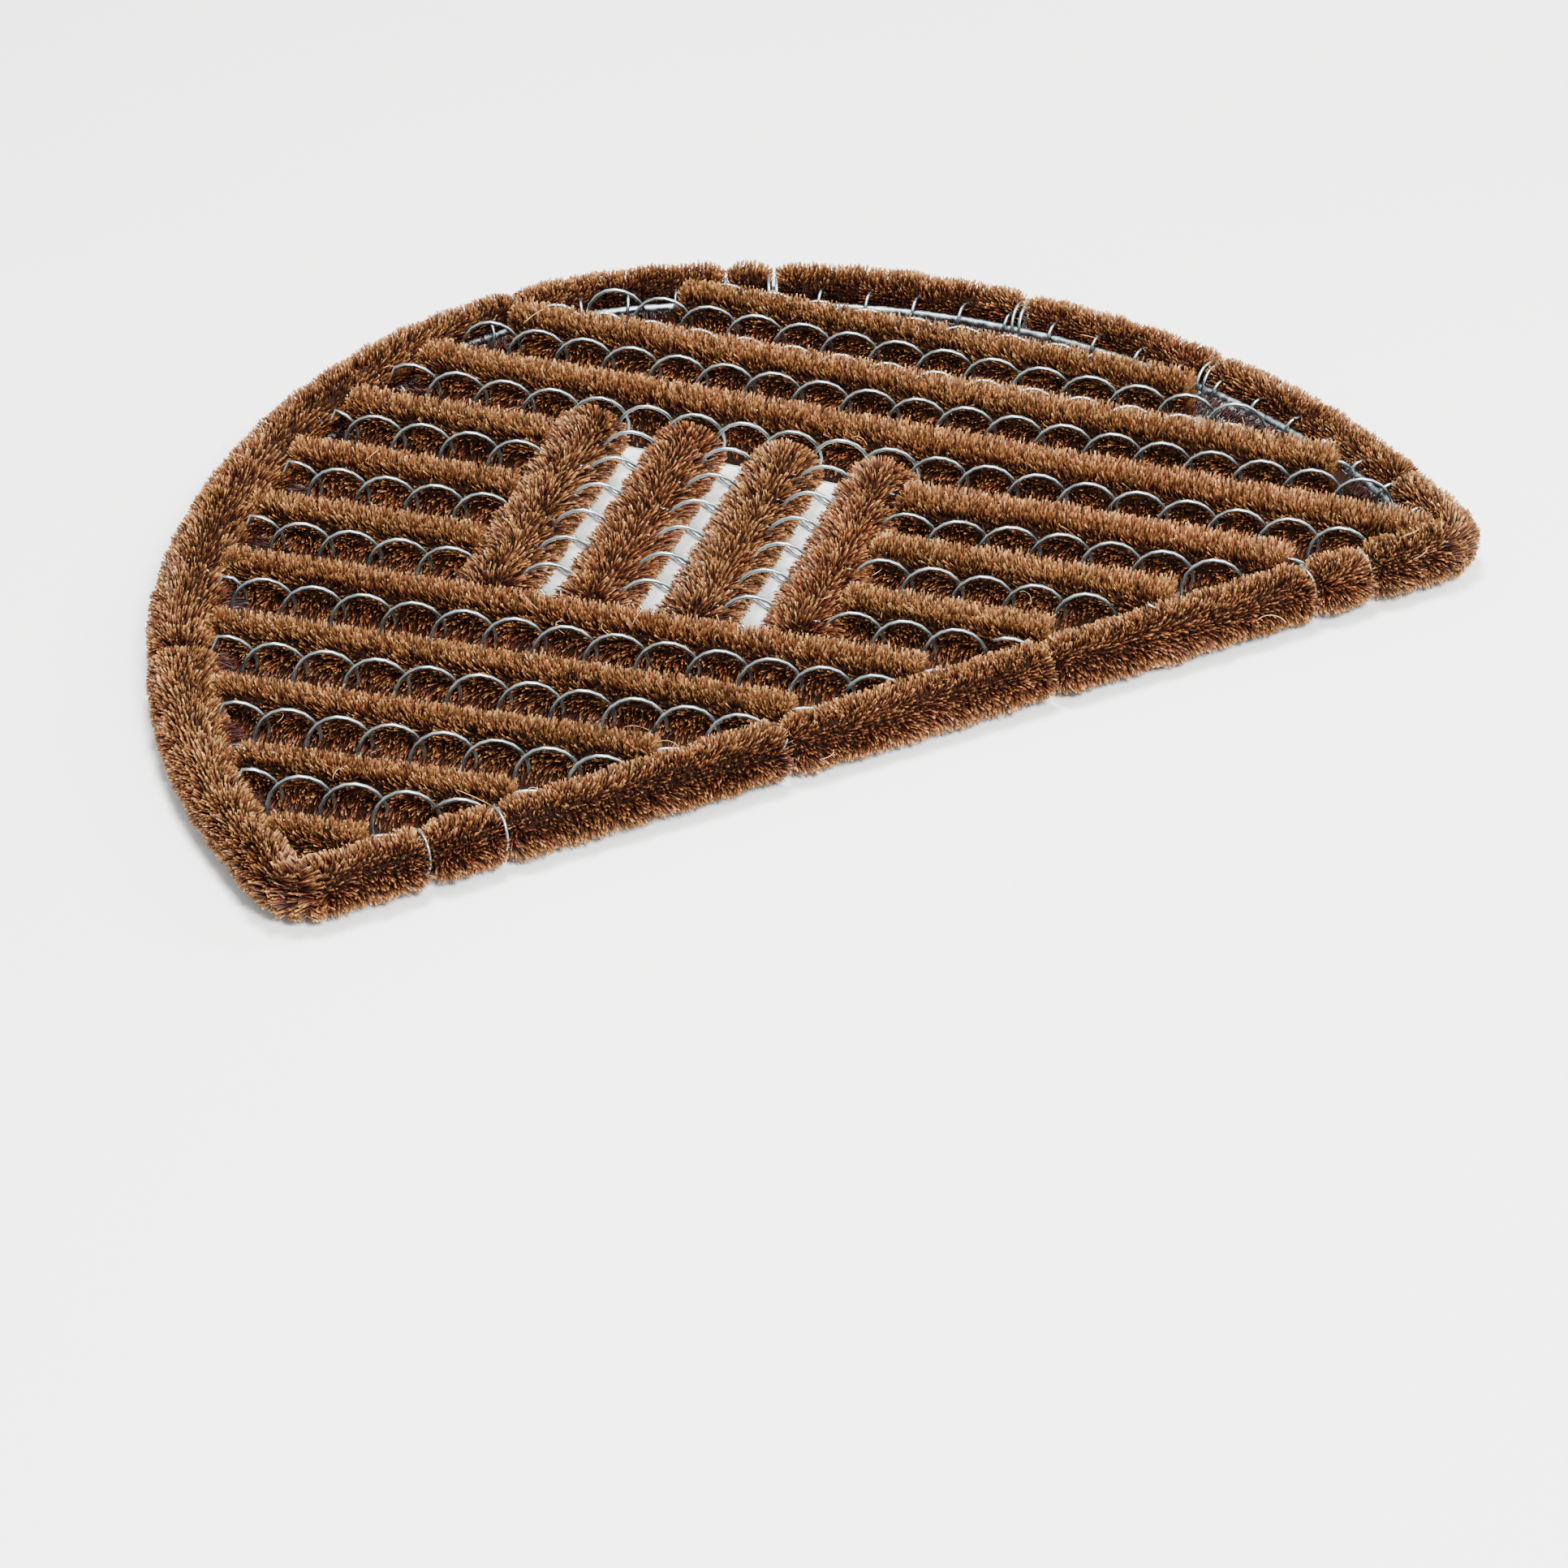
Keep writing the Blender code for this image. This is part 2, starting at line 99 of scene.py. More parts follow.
# Wire coils
WIRE_RADIUS = 0.00108
COIL_HALF = 0.016
COIL_MIDDLE = 0.019
COIL_RISE = 0.0175         # middle to the top of a turn that shows in a channel
COIL_SUNK = 0.0088         # the same of a turn that is pressed into a row
COIL_BURIED = 0.0078       # and of one inside a block brush
COIL_BACK = 0.0140         # and of one that stands behind a far row, where its crown shows
BACK_FROM = 0.14           # where turns start to stand behind their row
BACK_EASE = 0.02
BACK_LINE = (0.52, 1.45)   # the line, as place and slope, that they stand left of
UNDER_RIM = 0.022          # highest place of a turn that the rim's bristles press down
UNDER_RIM_FREE = 0.016     # and how much higher it may stand away from them
UNDER_RIM_EASE = 5 * MM    # the stretch in which it rises
UNDER_RIM_LEAD = 1.6       # how many such stretches before the end of their reach it starts to
CROWN_CLEAR = 12 * MM      # a coil's last arch shows if its crown lies this deep inside the rod
COIL_TAIL = COIL_PITCH / 3
COIL_TURN_STEPS = 18

# Brush rows
ROW_TOP = 0.0365
ROW_TOP_FRONT = -0.0150    # edges of the trimmed top from the row's middle plane, which the coils hold
ROW_TOP_BACK = 0.0045
TOP_WIDER_RIGHT = 0.010    # how much broader the top gets for each metre to the right, and far
TOP_WIDER_FAR = 0.012
FIRST_ROW_FROM = 0.2
FIRST_ROW_EASE = 0.02
FIRST_ROW_NARROWER = 4.5 * MM
ROW_CLAMP = np.array([-0.004, 0.016])                  # across and height of where the coils clamp it
ROW_SHORTER = {1: 17 * MM, 2: 5 * MM, 3: -14 * MM}     # cut at the right end, beyond the rod's limit
# How far inside the rod the tops start, in millimetres, by how the rod faces on the left
ROW_START_FACING = (0, 0.12, 0.95, 0.985)
ROW_START_DEPTH = (1, 8.5, 8.5, 1)
# Flanks from the top down to the floor: across and height
ROW_FRONT = [(-0.0148, 0.0358), (-0.0178, 0.029), (-0.0200, 0.021), (-0.0225, 0.012), (-0.0270, 0.003)]
ROW_BACK = [(0.0000, 0.0358), (0.0040, 0.029), (0.0090, 0.021), (0.0150, 0.012), (0.0240, 0.003)]
FRONT_AT_BLOCK = -0.0195   # the row past the block is pressed flat by the ends of the round brushes
# Heart of a row round its section: across and height, a foot of six places and a narrow ridge. It is
# coloured as painted shade, and its foot keeps the floor from showing between the bristles.
HEART_FOOT = [(across, 0.0012) for across in np.linspace(-0.0285, 0.0275, 6)]
HEART_RIDGE = [
    (0.0265, 0.005), (0.009, 0.0115), (-0.003, 0.027), (-0.012, 0.027), (-0.016, 0.0115),
    (-0.0265, 0.005),
]
RIDGE_FROM = 0.01          # height above which the heart is ridge
HEART_FOOT_WIDER = {2: 0.013}                          # under the gap that the short first row leaves
HEART_PAST_ROD = 0.004
HEART_INSET = 0.003        # of its ends from the bristles' ends
HEART_STEP = 0.02
HEART_FRONT_AT_BLOCK = -0.0185

# Block brushes
BLOCK_BRUSHES = 4
BRUSH_HALF = 0.0188
BRUSH_MIDDLE = 0.0185
BLOCK_WIDER = 1.28         # a block brush is broader than high
BLOCK_HALF = (BLOCK_BRUSHES - 1) * ROW_SPACING / 2 + BRUSH_HALF + 0.5 * MM
BLOCK_REACH = 1.5 * ROW_SPACING                        # to the middle of the channels past its rows
BLOCK_FAR_END = BLOCK_REACH - 2.0 * MM
BLOCK_NEAR_END = -BLOCK_REACH - 18 * MM
BLOCK_NOTCH = 11 * MM
BLOCK_HEART = 0.011
BLOCK_HEART_INSET = 0.004

# Rim
RIM_MIDDLE = 0.0115        # rod to the middle of the rim brush
RIM_HEIGHT = 0.0186
RIM_RADIUS = 0.0185
RIM_NOTCH = 9 * MM
RIM_HEART = 0.0095
RIM_HEART_STEP = 0.012
RIM_BULGE = 10 * MM        # round the arc the bristles under the rod reach this much further in
RIM_COIL_MIDDLE = 0.0042   # rod to the middle of the coil that binds the rim brush to it
RIM_COIL_HALF = 0.0080
RIM_COIL_LEAN = 0.8        # how far its turns crowd together on one side, in radians
# How far the rim's bristles reach over the rod, in millimetres, by how the rod faces on the left
RIM_OVER_FACING = (-0.3, 0, 0.1, 0.25, 0.5, 0.72, 0.9, 0.97, 1)
RIM_OVER_ROD = (0, 3, 7, 13, 15, 19, 16, 11, 0)
# Joints: x and y from the middle of the straight edge, how many loops of wire show there and the
# loops' radius in millimetres
RIM_JOINTS = [
    (-0.281, 0.000, 1, 11.5), (-0.238, 0.000, 1, 12.5), (-0.072, 0.000, 0, 0), (0.089, 0.000, 0, 0),
    (0.254, 0.000, 1, 11.5), (0.291, 0.000, 1, 11.0), (0.365, 0.078, 0, 0), (0.329, 0.234, 2, 12.0),
    (0.266, 0.347, 2, 12.0), (0.154, 0.455, 2, 12.0), (0.126, 0.464, 1, 11.5), (0.000, 0.492, 1, 11.5),
    (-0.319, 0.239, 0, 0),
]
LOOP_SPACING = 4.5 * MM
LOOP_LEAN = 0.8 * MM
LOOP_INWARD = 3.5 * MM     # how far a loop reaches in past the rod
LOOP_STEPS = 28

# Bristles: each is a long thin wedge with a broad root and a cut tip, set across each other
BRISTLE_ROOT = 0.42 * MM
BRISTLE_TIP = 0.38 * MM
FLOOR_CLEAR_ROW = 0.8 * MM
FLOOR_CLEAR_ROUND = 1.0 * MM
TUFT_SIZE = 2.4 * MM
TUFT_DEPTH = 1.8 * MM      # how far the darkest tufts stand back
TOP_DENSITY = 0.70         # bristles for each square millimetre of a row's top
FRONT_DENSITY = 11         # and for each millimetre along a row's front and back
BACK_DENSITY = 5
END_BRISTLES = 420
BLOCK_DENSITY = 32         # and along a block brush and the rim
RIM_DENSITY = 38
BLOCK_ANGLES = (-2.5, 2.5)                             # where they stand round a brush, 0 is up
RIM_ANGLES = (-2.2, 2.4)
RIM_UNDER_ANGLES = (2.1, 2.95)
RIM_UNDER_SHARE = 0.12
RIM_CROWDING = 6           # most that the outer side of a bend is longer than the rod

# Stray fibres
STRAY_EVERY = 2000         # one bristle in so many goes on as a long loose fibre
STRAY_LENGTHS = (8, 26)    # in millimetres
STRAY_RADIUS = 0.17 * MM
STRAY_TOP = 41 * MM
STRAY_STEPS = 8
STRAY_STARTS = []          # each brush adds some of its tips

# Camera at the photograph's angle, and soft studio lamps: name, place, size and power in watts
CAMERA_PLACE = (-1.2537, -2.4737, 1.7649)
CAMERA_TARGET = (-0.0969, -0.2853, 0.0344)
CAMERA_LENS = 133.3
CAMERA_SENSOR = 36.0
LAMPS = [
    ("key", (-0.1, -0.1, 3.0), 0.8, 210),
    ("fill", (-0.4, -2.5, 2.6), 0.7, 295),
    ("side", (2.3, -0.6, 1.8), 1.0, 70),
]
SKY_STRENGTH = 0.95
FLOOR_HALF = 30

# Where the middle of each tuft lies from its cell's middle, in cells, and the tuft's tone
CHANCE = np.random.default_rng(11)
TUFTS = CHANCE.uniform(-0.3, 0.3, (997, 2))
TUFT_TONES = CHANCE.beta(1.0, 1.2, 997)


# Plan of the rod

def rod_plan(steps=160):
    """The rod's centre line in plan, anticlockwise, as an array of points."""
    half = MAT_WIDTH / 2 - ROD_INSET
    rise = MAT_DEPTH - SIDE_HEIGHT - ROD_INSET
    turn = np.linspace(0, math.pi / 2, 8)
    corner_x = half - ROD_BEND + ROD_BEND * np.sin(turn)
    corner_y = ROD_INSET + ROD_BEND - ROD_BEND * np.cos(turn)
    sweep = np.linspace(0, math.pi, steps)
    arc_x = half * np.sign(np.cos(sweep)) * np.abs(np.cos(sweep)) ** (2 / ARC_FULLNESS)
    arc_y = SIDE_HEIGHT + rise * np.sin(sweep).clip(0) ** (2 / ARC_FULLNESS)
    x = np.concatenate([corner_x, arc_x, -corner_x[::-1]])
    y = np.concatenate([corner_y, arc_y, corner_y[::-1]]) - MAT_DEPTH / 2
    return np.stack([x, y], 1)


ROD = rod_plan()
ROD_SAG = SAG_DEPTH * np.exp(-((ROD[:, 0] - SAG_PLACE) / SAG_WIDTH) ** 2) * (ROD[:, 1] > 0)
ROD = ROD - ROD_SAG[:, None] * SAG_WAY
ROD_STEP = np.roll(ROD, -1, axis=0) - ROD
ROD_STEP_LENGTH = np.linalg.norm(ROD_STEP, axis=1)
ROD_RUN = ROD_STEP / ROD_STEP_LENGTH[:, None]
ROD_OUT = np.stack([ROD_RUN[:, 1], -ROD_RUN[:, 0]], 1)
ROD_MARKS = np.concatenate([[0], np.cumsum(ROD_STEP_LENGTH)])
ROD_LENGTH = ROD_MARKS[-1]


def rod_facing(points):
    """How far plan points lie inside the rod's centre line, and how the rod faces near them."""
    gaps = np.einsum("ij,ij->i", ROD, ROD_OUT)[None] - points @ ROD_OUT.T
    return gaps.min(axis=1), ROD_OUT[gaps.argmin(axis=1)]


def depth_inside(points):
    return rod_facing(points)[0]


def rod_index(length):
    """Which of the rod's steps each length along it lies in."""
    return np.clip(np.searchsorted(ROD_MARKS, length, side="right") - 1, 0, len(ROD) - 1)


def rod_place(length):
    """Points on the rod's centre line, the outward directions and the sag there, for lengths along it."""
    length = np.mod(length, ROD_LENGTH)
    index = rod_index(length)
    share = ((length - ROD_MARKS[index]) / ROD_STEP_LENGTH[index])[:, None]
    ahead = np.roll(ROD_OUT, -1, axis=0)[index]
    out = ROD_OUT[index] * (1 - share) + ahead * share
    out /= np.linalg.norm(out, axis=1)[:, None]
    return ROD[index] + ROD_STEP[index] * share, out, ROD_SAG[index]


def rod_bend(length):
    """How sharply the rod bends at lengths along it, as one over the radius."""
    ahead = np.roll(ROD_OUT, -1, axis=0)
    turn = ROD_OUT[:, 0] * ahead[:, 1] - ROD_OUT[:, 1] * ahead[:, 0]
    return (turn / ROD_STEP_LENGTH)[rod_index(np.mod(length, ROD_LENGTH))]


def lattice(u, v):
    """Plan points of lattice places, as far out of true as the real mat's."""
    u, v = np.broadcast_arrays(u, v)
    right, far = u / WARP_RUN, v / WARP_RUN
    dent = np.exp(-((u - DENT_PLACE[0]) / DENT_SIZE[0]) ** 2 - ((v - DENT_PLACE[1]) / DENT_SIZE[1]) ** 2)
    u_warp = U_WARP_RIGHT * right + U_WARP_CORNER * right * far
    v_warp = V_WARP_ALL + V_WARP_RIGHT * right + V_WARP_FAR * far ** 2
    v_warp = v_warp + V_WARP_CORNER * right * far + DENT * dent
    u = u + u_warp * MM
    v = v + v_warp * MM
    return BLOCK_CENTRE + u[..., None] * ALONG + v[..., None] * ACROSS


def row_v(row):
    return (MIDDLE_ROW - row) * ROW_SPACING


def span_inside(v, depth):
    """The stretch of u in which a line of constant v lies that deep inside the rod."""
    inside = PLACES_U[depth_inside(lattice(PLACES_U, v)) > depth]
    return (inside.min(), inside.max()) if len(inside) else (0.0, 0.0)


# Materials

def linear(hex_colour):
    """An sRGB hex colour as linear RGBA."""
    parts = [int(hex_colour[i:i + 2], 16) / 255 for i in (1, 3, 5)]
    return [c / 12.92 if c <= 0.04045 else ((c + 0.055) / 1.055) ** 2.4 for c in parts] + [1.0]


def add(tree, kind, settings=None, **links):
    """A node of a kind with its settings, and its inputs set or linked by name, in which _ stands for
    a space, or by place, such as _0."""
    node = tree.nodes.new(kind)
    for name, value in (settings or {}).items():
        setattr(node, name, value)
    for name, value in links.items():
        socket = node.inputs[int(name[1:])] if name[0] == "_" else node.inputs[name.replace("_", " ")]
        if isinstance(value, bpy.types.NodeSocket):
            tree.links.new(value, socket)
        else:
            socket.default_value = value
    return node


def ramp(tree, factor, stops):
    """A colour ramp through hex colours."""
    node = add(tree, "ShaderNodeValToRGB", Fac=factor)
    places = node.color_ramp.elements
    while len(places) < len(stops):
        places.new(0.5)
    for place, (position, colour) in zip(places, stops):
        place.position = position
        place.color = linear(colour)
    return node.outputs["Color"]


def new_material(name):
    mat = bpy.data.materials.new(name)
    mat.use_nodes = True
    tree = mat.node_tree
    return mat, tree, tree.nodes["Principled BSDF"]


def coir_fibre():
    """Coir fibre, retted, combed and trimmed: matt brown husk fibre, each fibre a little different, with
    painted shade along it: darker towards the root where the bundle shades itself, paler towards the
    tip that the light reaches. The mesh's fibre colours hold that painted shade from root to tip, the
    fibre's tone, and how rusty it is."""
    mat, tree, shader = new_material("coir_fibre")
    fibre = add(tree, "ShaderNodeAttribute", {"attribute_name": "fibre"})
    split = add(tree, "ShaderNodeSeparateColor", Color=fibre.outputs["Color"])
    # reach is the painted shade along a bristle, not a length: 0 for a root in shade, 1 for a fully lit
    # tip
    reach, tone, warmth = split.outputs
    # Both ramps paint shade and light: dark brown for shaded roots, pale golden for lit tips
    body = ramp(tree, reach, [
        (0.00, "#170805"), (0.40, "#38130A"), (0.65, "#6B4220"), (0.85, "#A97D43"), (1.00, "#D8B17A"),
    ])
    rusty = ramp(tree, reach, [
        (0.00, "#1A0705"), (0.40, "#3E0E08"), (0.65, "#723419"), (0.85, "#A86636"), (1.00, "#CA9260"),
    ])
    mixed = add(tree, "ShaderNodeMix", {"data_type": "RGBA"}, _0=warmth, _6=body, _7=rusty)
    value = add(tree, "ShaderNodeMapRange", _0=tone, _3=0.04, _4=1.36)
    shade = add(
        tree, "ShaderNodeHueSaturation", Color=mixed.outputs[2], Value=value.outputs[0],
        Saturation=0.97,
    )
    tree.links.new(shade.outputs["Color"], shader.inputs["Base Color"])
    shader.inputs["Roughness"].default_value = 0.48
    shader.inputs["Specular IOR Level"].default_value = 0.28
    return mat


def coir_heart():
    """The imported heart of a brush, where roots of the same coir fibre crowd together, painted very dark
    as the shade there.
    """
    mat, tree, shader = new_material("coir_heart")
    place = add(tree, "ShaderNodeTexCoord")
    grain = add(
        tree, "ShaderNodeTexNoise", Vector=place.outputs["Object"],
        Scale=1 / (1.4 * MM), Detail=3.0, Roughness=0.7,
    )
    # Painted shade: near black browns for the shaded depths among the bristles
    colour = ramp(tree, grain.outputs["Fac"], [(0.3, "#100703"), (0.55, "#21110A"), (0.75, "#3A2312")])
    bump = add(tree, "ShaderNodeBump", Height=grain.outputs["Fac"], Strength=0.8, Distance=0.6 * MM)
    tree.links.new(colour, shader.inputs["Base Color"])
    tree.links.new(bump.outputs["Normal"], shader.inputs["Normal"])
    shader.inputs["Roughness"].default_value = 0.95
    shader.inputs["Specular IOR Level"].default_value = 0.1
    return mat


def zinc(name, tones, patch, rough, bump_depth):
    """A zinc coat on steel: metallic, with tones and roughness that drift over patches of a size in
    metres, and a grain of 0.7 mm."""
    mat, tree, shader = new_material(name)
    place = add(tree, "ShaderNodeTexCoord")
    cloud = add(
        tree, "ShaderNodeTexNoise", Vector=place.outputs["Object"],
        Scale=1 / patch, Detail=4.0, Roughness=0.6,
    )
    grain = add(
        tree, "ShaderNodeTexNoise", Vector=place.outputs["Object"],
        Scale=1 / (0.7 * MM), Detail=2.0, Roughness=0.6,
    )
    colour = ramp(tree, cloud.outputs["Fac"], tones)
    rougher = add(
        tree, "ShaderNodeMapRange", _0=cloud.outputs["Fac"], _1=0.35, _2=0.65, _3=rough[0], _4=rough[1],
    )
    bump = add(tree, "ShaderNodeBump", Height=grain.outputs["Fac"], Strength=0.5, Distance=bump_depth)
    tree.links.new(colour, shader.inputs["Base Color"])
    tree.links.new(rougher.outputs[0], shader.inputs["Roughness"])
    tree.links.new(bump.outputs["Normal"], shader.inputs["Normal"])
    shader.inputs["Metallic"].default_value = 1.0
    return mat


def galvanised_wire():
    """Galvanised steel wire, drawn after dipping: even grey zinc with a soft bright line along it."""
    return zinc(
        "galvanised_wire", [(0.35, "#909DA0"), (0.55, "#A9B6B8"), (0.7, "#C6D0D1")],
        9 * MM, (0.28, 0.38), 0.002 * MM,
    )


def galvanised_rod():
    """Hot dip galvanised steel rod: duller, cloudy zinc with bluish patches and dull spots."""
    return zinc(
        "galvanised_rod", [(0.3, "#626F75"), (0.5, "#909DA2"), (0.65, "#BAC5C8")],
        4 * MM, (0.30, 0.55), 0.10 * MM,
    )


def floor_finish():
    """A plain pale matt floor of painted board, in clouds of two thirds of a metre."""
    mat, tree, shader = new_material("pale_floor")
    place = add(tree, "ShaderNodeTexCoord")
    cloud = add(tree, "ShaderNodeTexNoise", Vector=place.outputs["Object"], Scale=1.5, Detail=2.0)
    colour = ramp(tree, cloud.outputs["Fac"], [(0.3, "#F4F3F1"), (0.7, "#F7F6F4")])
    tree.links.new(colour, shader.inputs["Base Color"])
    shader.inputs["Roughness"].default_value = 0.9
    return mat


# Meshes

def mesh_object(name, points, faces, materials, face_materials=None, smooth=False):
    """An object from arrays: points by 3, faces all of one size or a list of such arrays."""
    mesh = bpy.data.meshes.new(name)
    groups = faces if isinstance(faces, list) else [faces]
    corners = np.concatenate([group.ravel() for group in groups]).astype(np.int32)
    sizes = np.concatenate([np.full(len(group), group.shape[1]) for group in groups])
    starts = np.concatenate([[0], np.cumsum(sizes)[:-1]]).astype(np.int32)
    mesh.vertices.add(len(points))
    mesh.vertices.foreach_set("co", np.asarray(points, np.float32).ravel())
    mesh.loops.add(len(corners))
    mesh.loops.foreach_set("vertex_index", corners)
    mesh.polygons.add(len(sizes))
    mesh.polygons.foreach_set("loop_start", starts)
    if face_materials is not None:
        mesh.polygons.foreach_set("material_index", np.asarray(face_materials, np.int32))
    mesh.polygons.foreach_set("use_smooth", np.full(len(sizes), smooth))
    mesh.update(calc_edges=True)
    mesh.validate()
    for material in materials:
        mesh.materials.append(material)
    obj = bpy.data.objects.new(name, mesh)
    bpy.context.scene.collection.objects.link(obj)
    return obj


def unit(vectors):
    return vectors / np.linalg.norm(vectors, axis=-1, keepdims=True).clip(1e-12)


def ease(share):
    """A share from 0 to 1 that starts and ends gently."""
    return share * share * (3 - 2 * share)


def tube(points, radius, sides, closed=False):
    """Points, quads and flat ends of a round tube along a line, which has no ends if it is closed."""
    points = np.asarray(points, float)
    if closed:
        run = unit(np.roll(points, -1, 0) - np.roll(points, 1, 0))
    else:
        run = unit(np.gradient(points, axis=0))
    side = np.zeros_like(points)
    start = np.array([0, 0, 1.0]) if abs(run[0, 2]) < 0.8 else np.array([1.0, 0, 0])
    side[0] = unit(start - run[0] * (start @ run[0]))
    for i in range(1, len(points)):
        side[i] = unit(side[i - 1] - run[i] * (side[i - 1] @ run[i]))
    up = np.cross(run, side)
    turn = np.arange(sides) * math.tau / sides
    ring = np.cos(turn)[None, :, None] * side[:, None] + np.sin(turn)[None, :, None] * up[:, None]
    places = (points[:, None] + ring * radius).reshape(-1, 3)
    count = len(points) if closed else len(points) - 1
    first = np.arange(count)[:, None] * sides + np.arange(sides)[None]
    beside = np.arange(count)[:, None] * sides + (np.arange(sides)[None] + 1) % sides
    ahead = (first + sides) % len(places)
    ahead_beside = (beside + sides) % len(places)
    quads = np.stack([first, beside, ahead_beside, ahead], -1).reshape(-1, 4)
    caps = np.zeros((0, sides), int)
    if not closed:
        caps = np.array([np.arange(sides)[::-1], len(places) - sides + np.arange(sides)])
    return places, quads, caps


def tubes_object(name, lines, radius, sides, material, closed=False):
    """Several tubes as one object."""
    places, quads, caps = [], [], []
    total = 0
    for line in lines:
        points, faces, ends = tube(line, radius, sides, closed)
        places.append(points)
        quads.append(faces + total)
        caps.append(ends + total)
        total += len(points)
    groups = [np.concatenate(quads)]
    if not closed:
        groups.append(np.concatenate(caps))
    return mesh_object(name, np.concatenate(places), groups, [material], smooth=True)


def wedges(roots, tips, root_half, tip_half):
    """Points and triangles of closed four-sided wedges from roots to tips."""
    count = len(roots)
    run = unit(tips - roots)
    helper = unit(CHANCE.normal(size=(count, 3)))
    side = unit(np.cross(run, helper))
    other = np.cross(run, side)
    a = roots + side * root_half[:, None]
    b = roots - side * root_half[:, None]
    c = tips + other * tip_half[:, None]
    d = tips - other * tip_half[:, None]
    places = np.stack([a, b, c, d], 1).reshape(-1, 3)
    base = np.arange(count)[:, None] * 4
    faces = np.array([[0, 2, 1], [0, 1, 3], [0, 3, 2], [1, 2, 3]])
    return places, (base[:, :, None] + faces[None]).reshape(-1, 3)


def loft(sections):
    """Points and quads through closed rings of one size, with the ends closed by quads across."""
    rings = np.asarray(sections, float)
    count, size = rings.shape[:2]
    first = np.arange(count - 1)[:, None] * size + np.arange(size)[None]
    beside = np.arange(count - 1)[:, None] * size + (np.arange(size)[None] + 1) % size
    quads = np.stack([first, beside, beside + size, first + size], -1).reshape(-1, 4)
    caps = []
    for base, flip in ((0, True), ((count - 1) * size, False)):
        for i in range(size // 2 - 1):
            quad = [base + i, base + i + 1, base + size - 2 - i, base + size - 1 - i]
            caps.append(quad[::-1] if flip else quad)
    return rings.reshape(-1, 3), np.concatenate([quads, np.array(caps)])


def clumps(places, size, amount):
    """Smooth random numbers around zero that change over a size, for lumps and tufts."""
    value = np.zeros(len(places))
    for octave in range(3):
        waves = CHANCE.normal(size=(3, places.shape[1])) / size * (1.7 ** octave)
        phase = CHANCE.uniform(0, math.tau, 3)
        value += np.sin(places @ waves.T + phase).sum(1) / (3 * 1.6 ** octave)
    return value * amount


def tufted(place):
    """Places drawn together in tufts, and a tone that each tuft has of its own."""
    cell = np.floor(place / TUFT_SIZE).astype(int)
    index = (cell[:, 0] * 37 + cell[:, 1] * 101) % len(TUFTS)
    middle = (cell + 0.5 + TUFTS[index]) * TUFT_SIZE
    pull = CHANCE.uniform(0.3, 0.85, (len(place), 1))
    return place + (middle - place) * pull, TUFT_TONES[index]


def strand_looks(tips, tuft, base_warmth):
    """Tone and warmth of each bristle: partly its own, partly its tuft's, with slow drifts."""
    count = len(tips)
    tone = 0.3 * CHANCE.beta(1.3, 1.6, count) + 0.7 * tuft + clumps(tips[:, :2], 0.05, 0.05)
    tone = np.where(CHANCE.uniform(0, 1, count) < 0.08, 1.0, tone.clip(0, 1))
    warmth = CHANCE.normal(base_warmth, 0.28, count) + clumps(tips[:, :2], 0.08, 0.15)
    tuft_warmth = np.mod(tuft * 37.7, 1) - 0.5
    warmth = (warmth + 0.45 * (0.45 - tone) + 0.7 * tuft_warmth).clip(0, 1)
    return tone, warmth


def build_brush(node, heart, roots, tips, shades, looks, materials):
    """A brush of one heart mesh and its bristles. Shades are the painted shade of each root and each
    tip, by how near the light it is; looks are the bristles' tone and warmth."""
    heart_points, heart_faces = heart
    count = len(roots)
    thick = CHANCE.uniform(0.6, 1.35, count)
    points, faces = wedges(roots, tips, BRISTLE_ROOT * thick, BRISTLE_TIP * thick)
    places = np.concatenate([heart_points, points])
    groups = [heart_faces, faces + len(heart_points)]
    finishes = np.concatenate([np.zeros(len(heart_faces)), np.ones(len(faces))])
    brush = mesh_object(
        f"coir_{node}", places, groups, [materials["heart"], materials["fibre"]], finishes,
    )
    STRAY_STARTS.extend(tips[CHANCE.integers(0, count, count // STRAY_EVERY)])
    fibre = np.zeros((len(places), 4), np.float32)
    # First channel: the painted shade, the root's at the two root corners and the tip's at the two tip
    # corners
    fibre[len(heart_points):, 0] = np.stack([shades[0], shades[0], shades[1], shades[1]], 1).ravel()
    fibre[len(heart_points):, 1] = np.repeat(looks[0], 4)
    fibre[len(heart_points):, 2] = np.repeat(looks[1], 4)
    fibre[:, 3] = 1
    colours = brush.data.color_attributes.new("fibre", "FLOAT_COLOR", "POINT")
    colours.data.foreach_set("color", fibre.ravel())
    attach(brush, "root")
    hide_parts(node)


# Rod and coils

def build_rod(materials):
    """The bent rod that carries the mat."""
    path = np.concatenate([ROD, np.full((len(ROD), 1), ROD_HEIGHT)], 1)
    rod = tubes_object("bent_rod", [path], ROD_RADIUS, 16, materials["rod"], closed=True)
    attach(rod, "root")
    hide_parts("frame_rod")


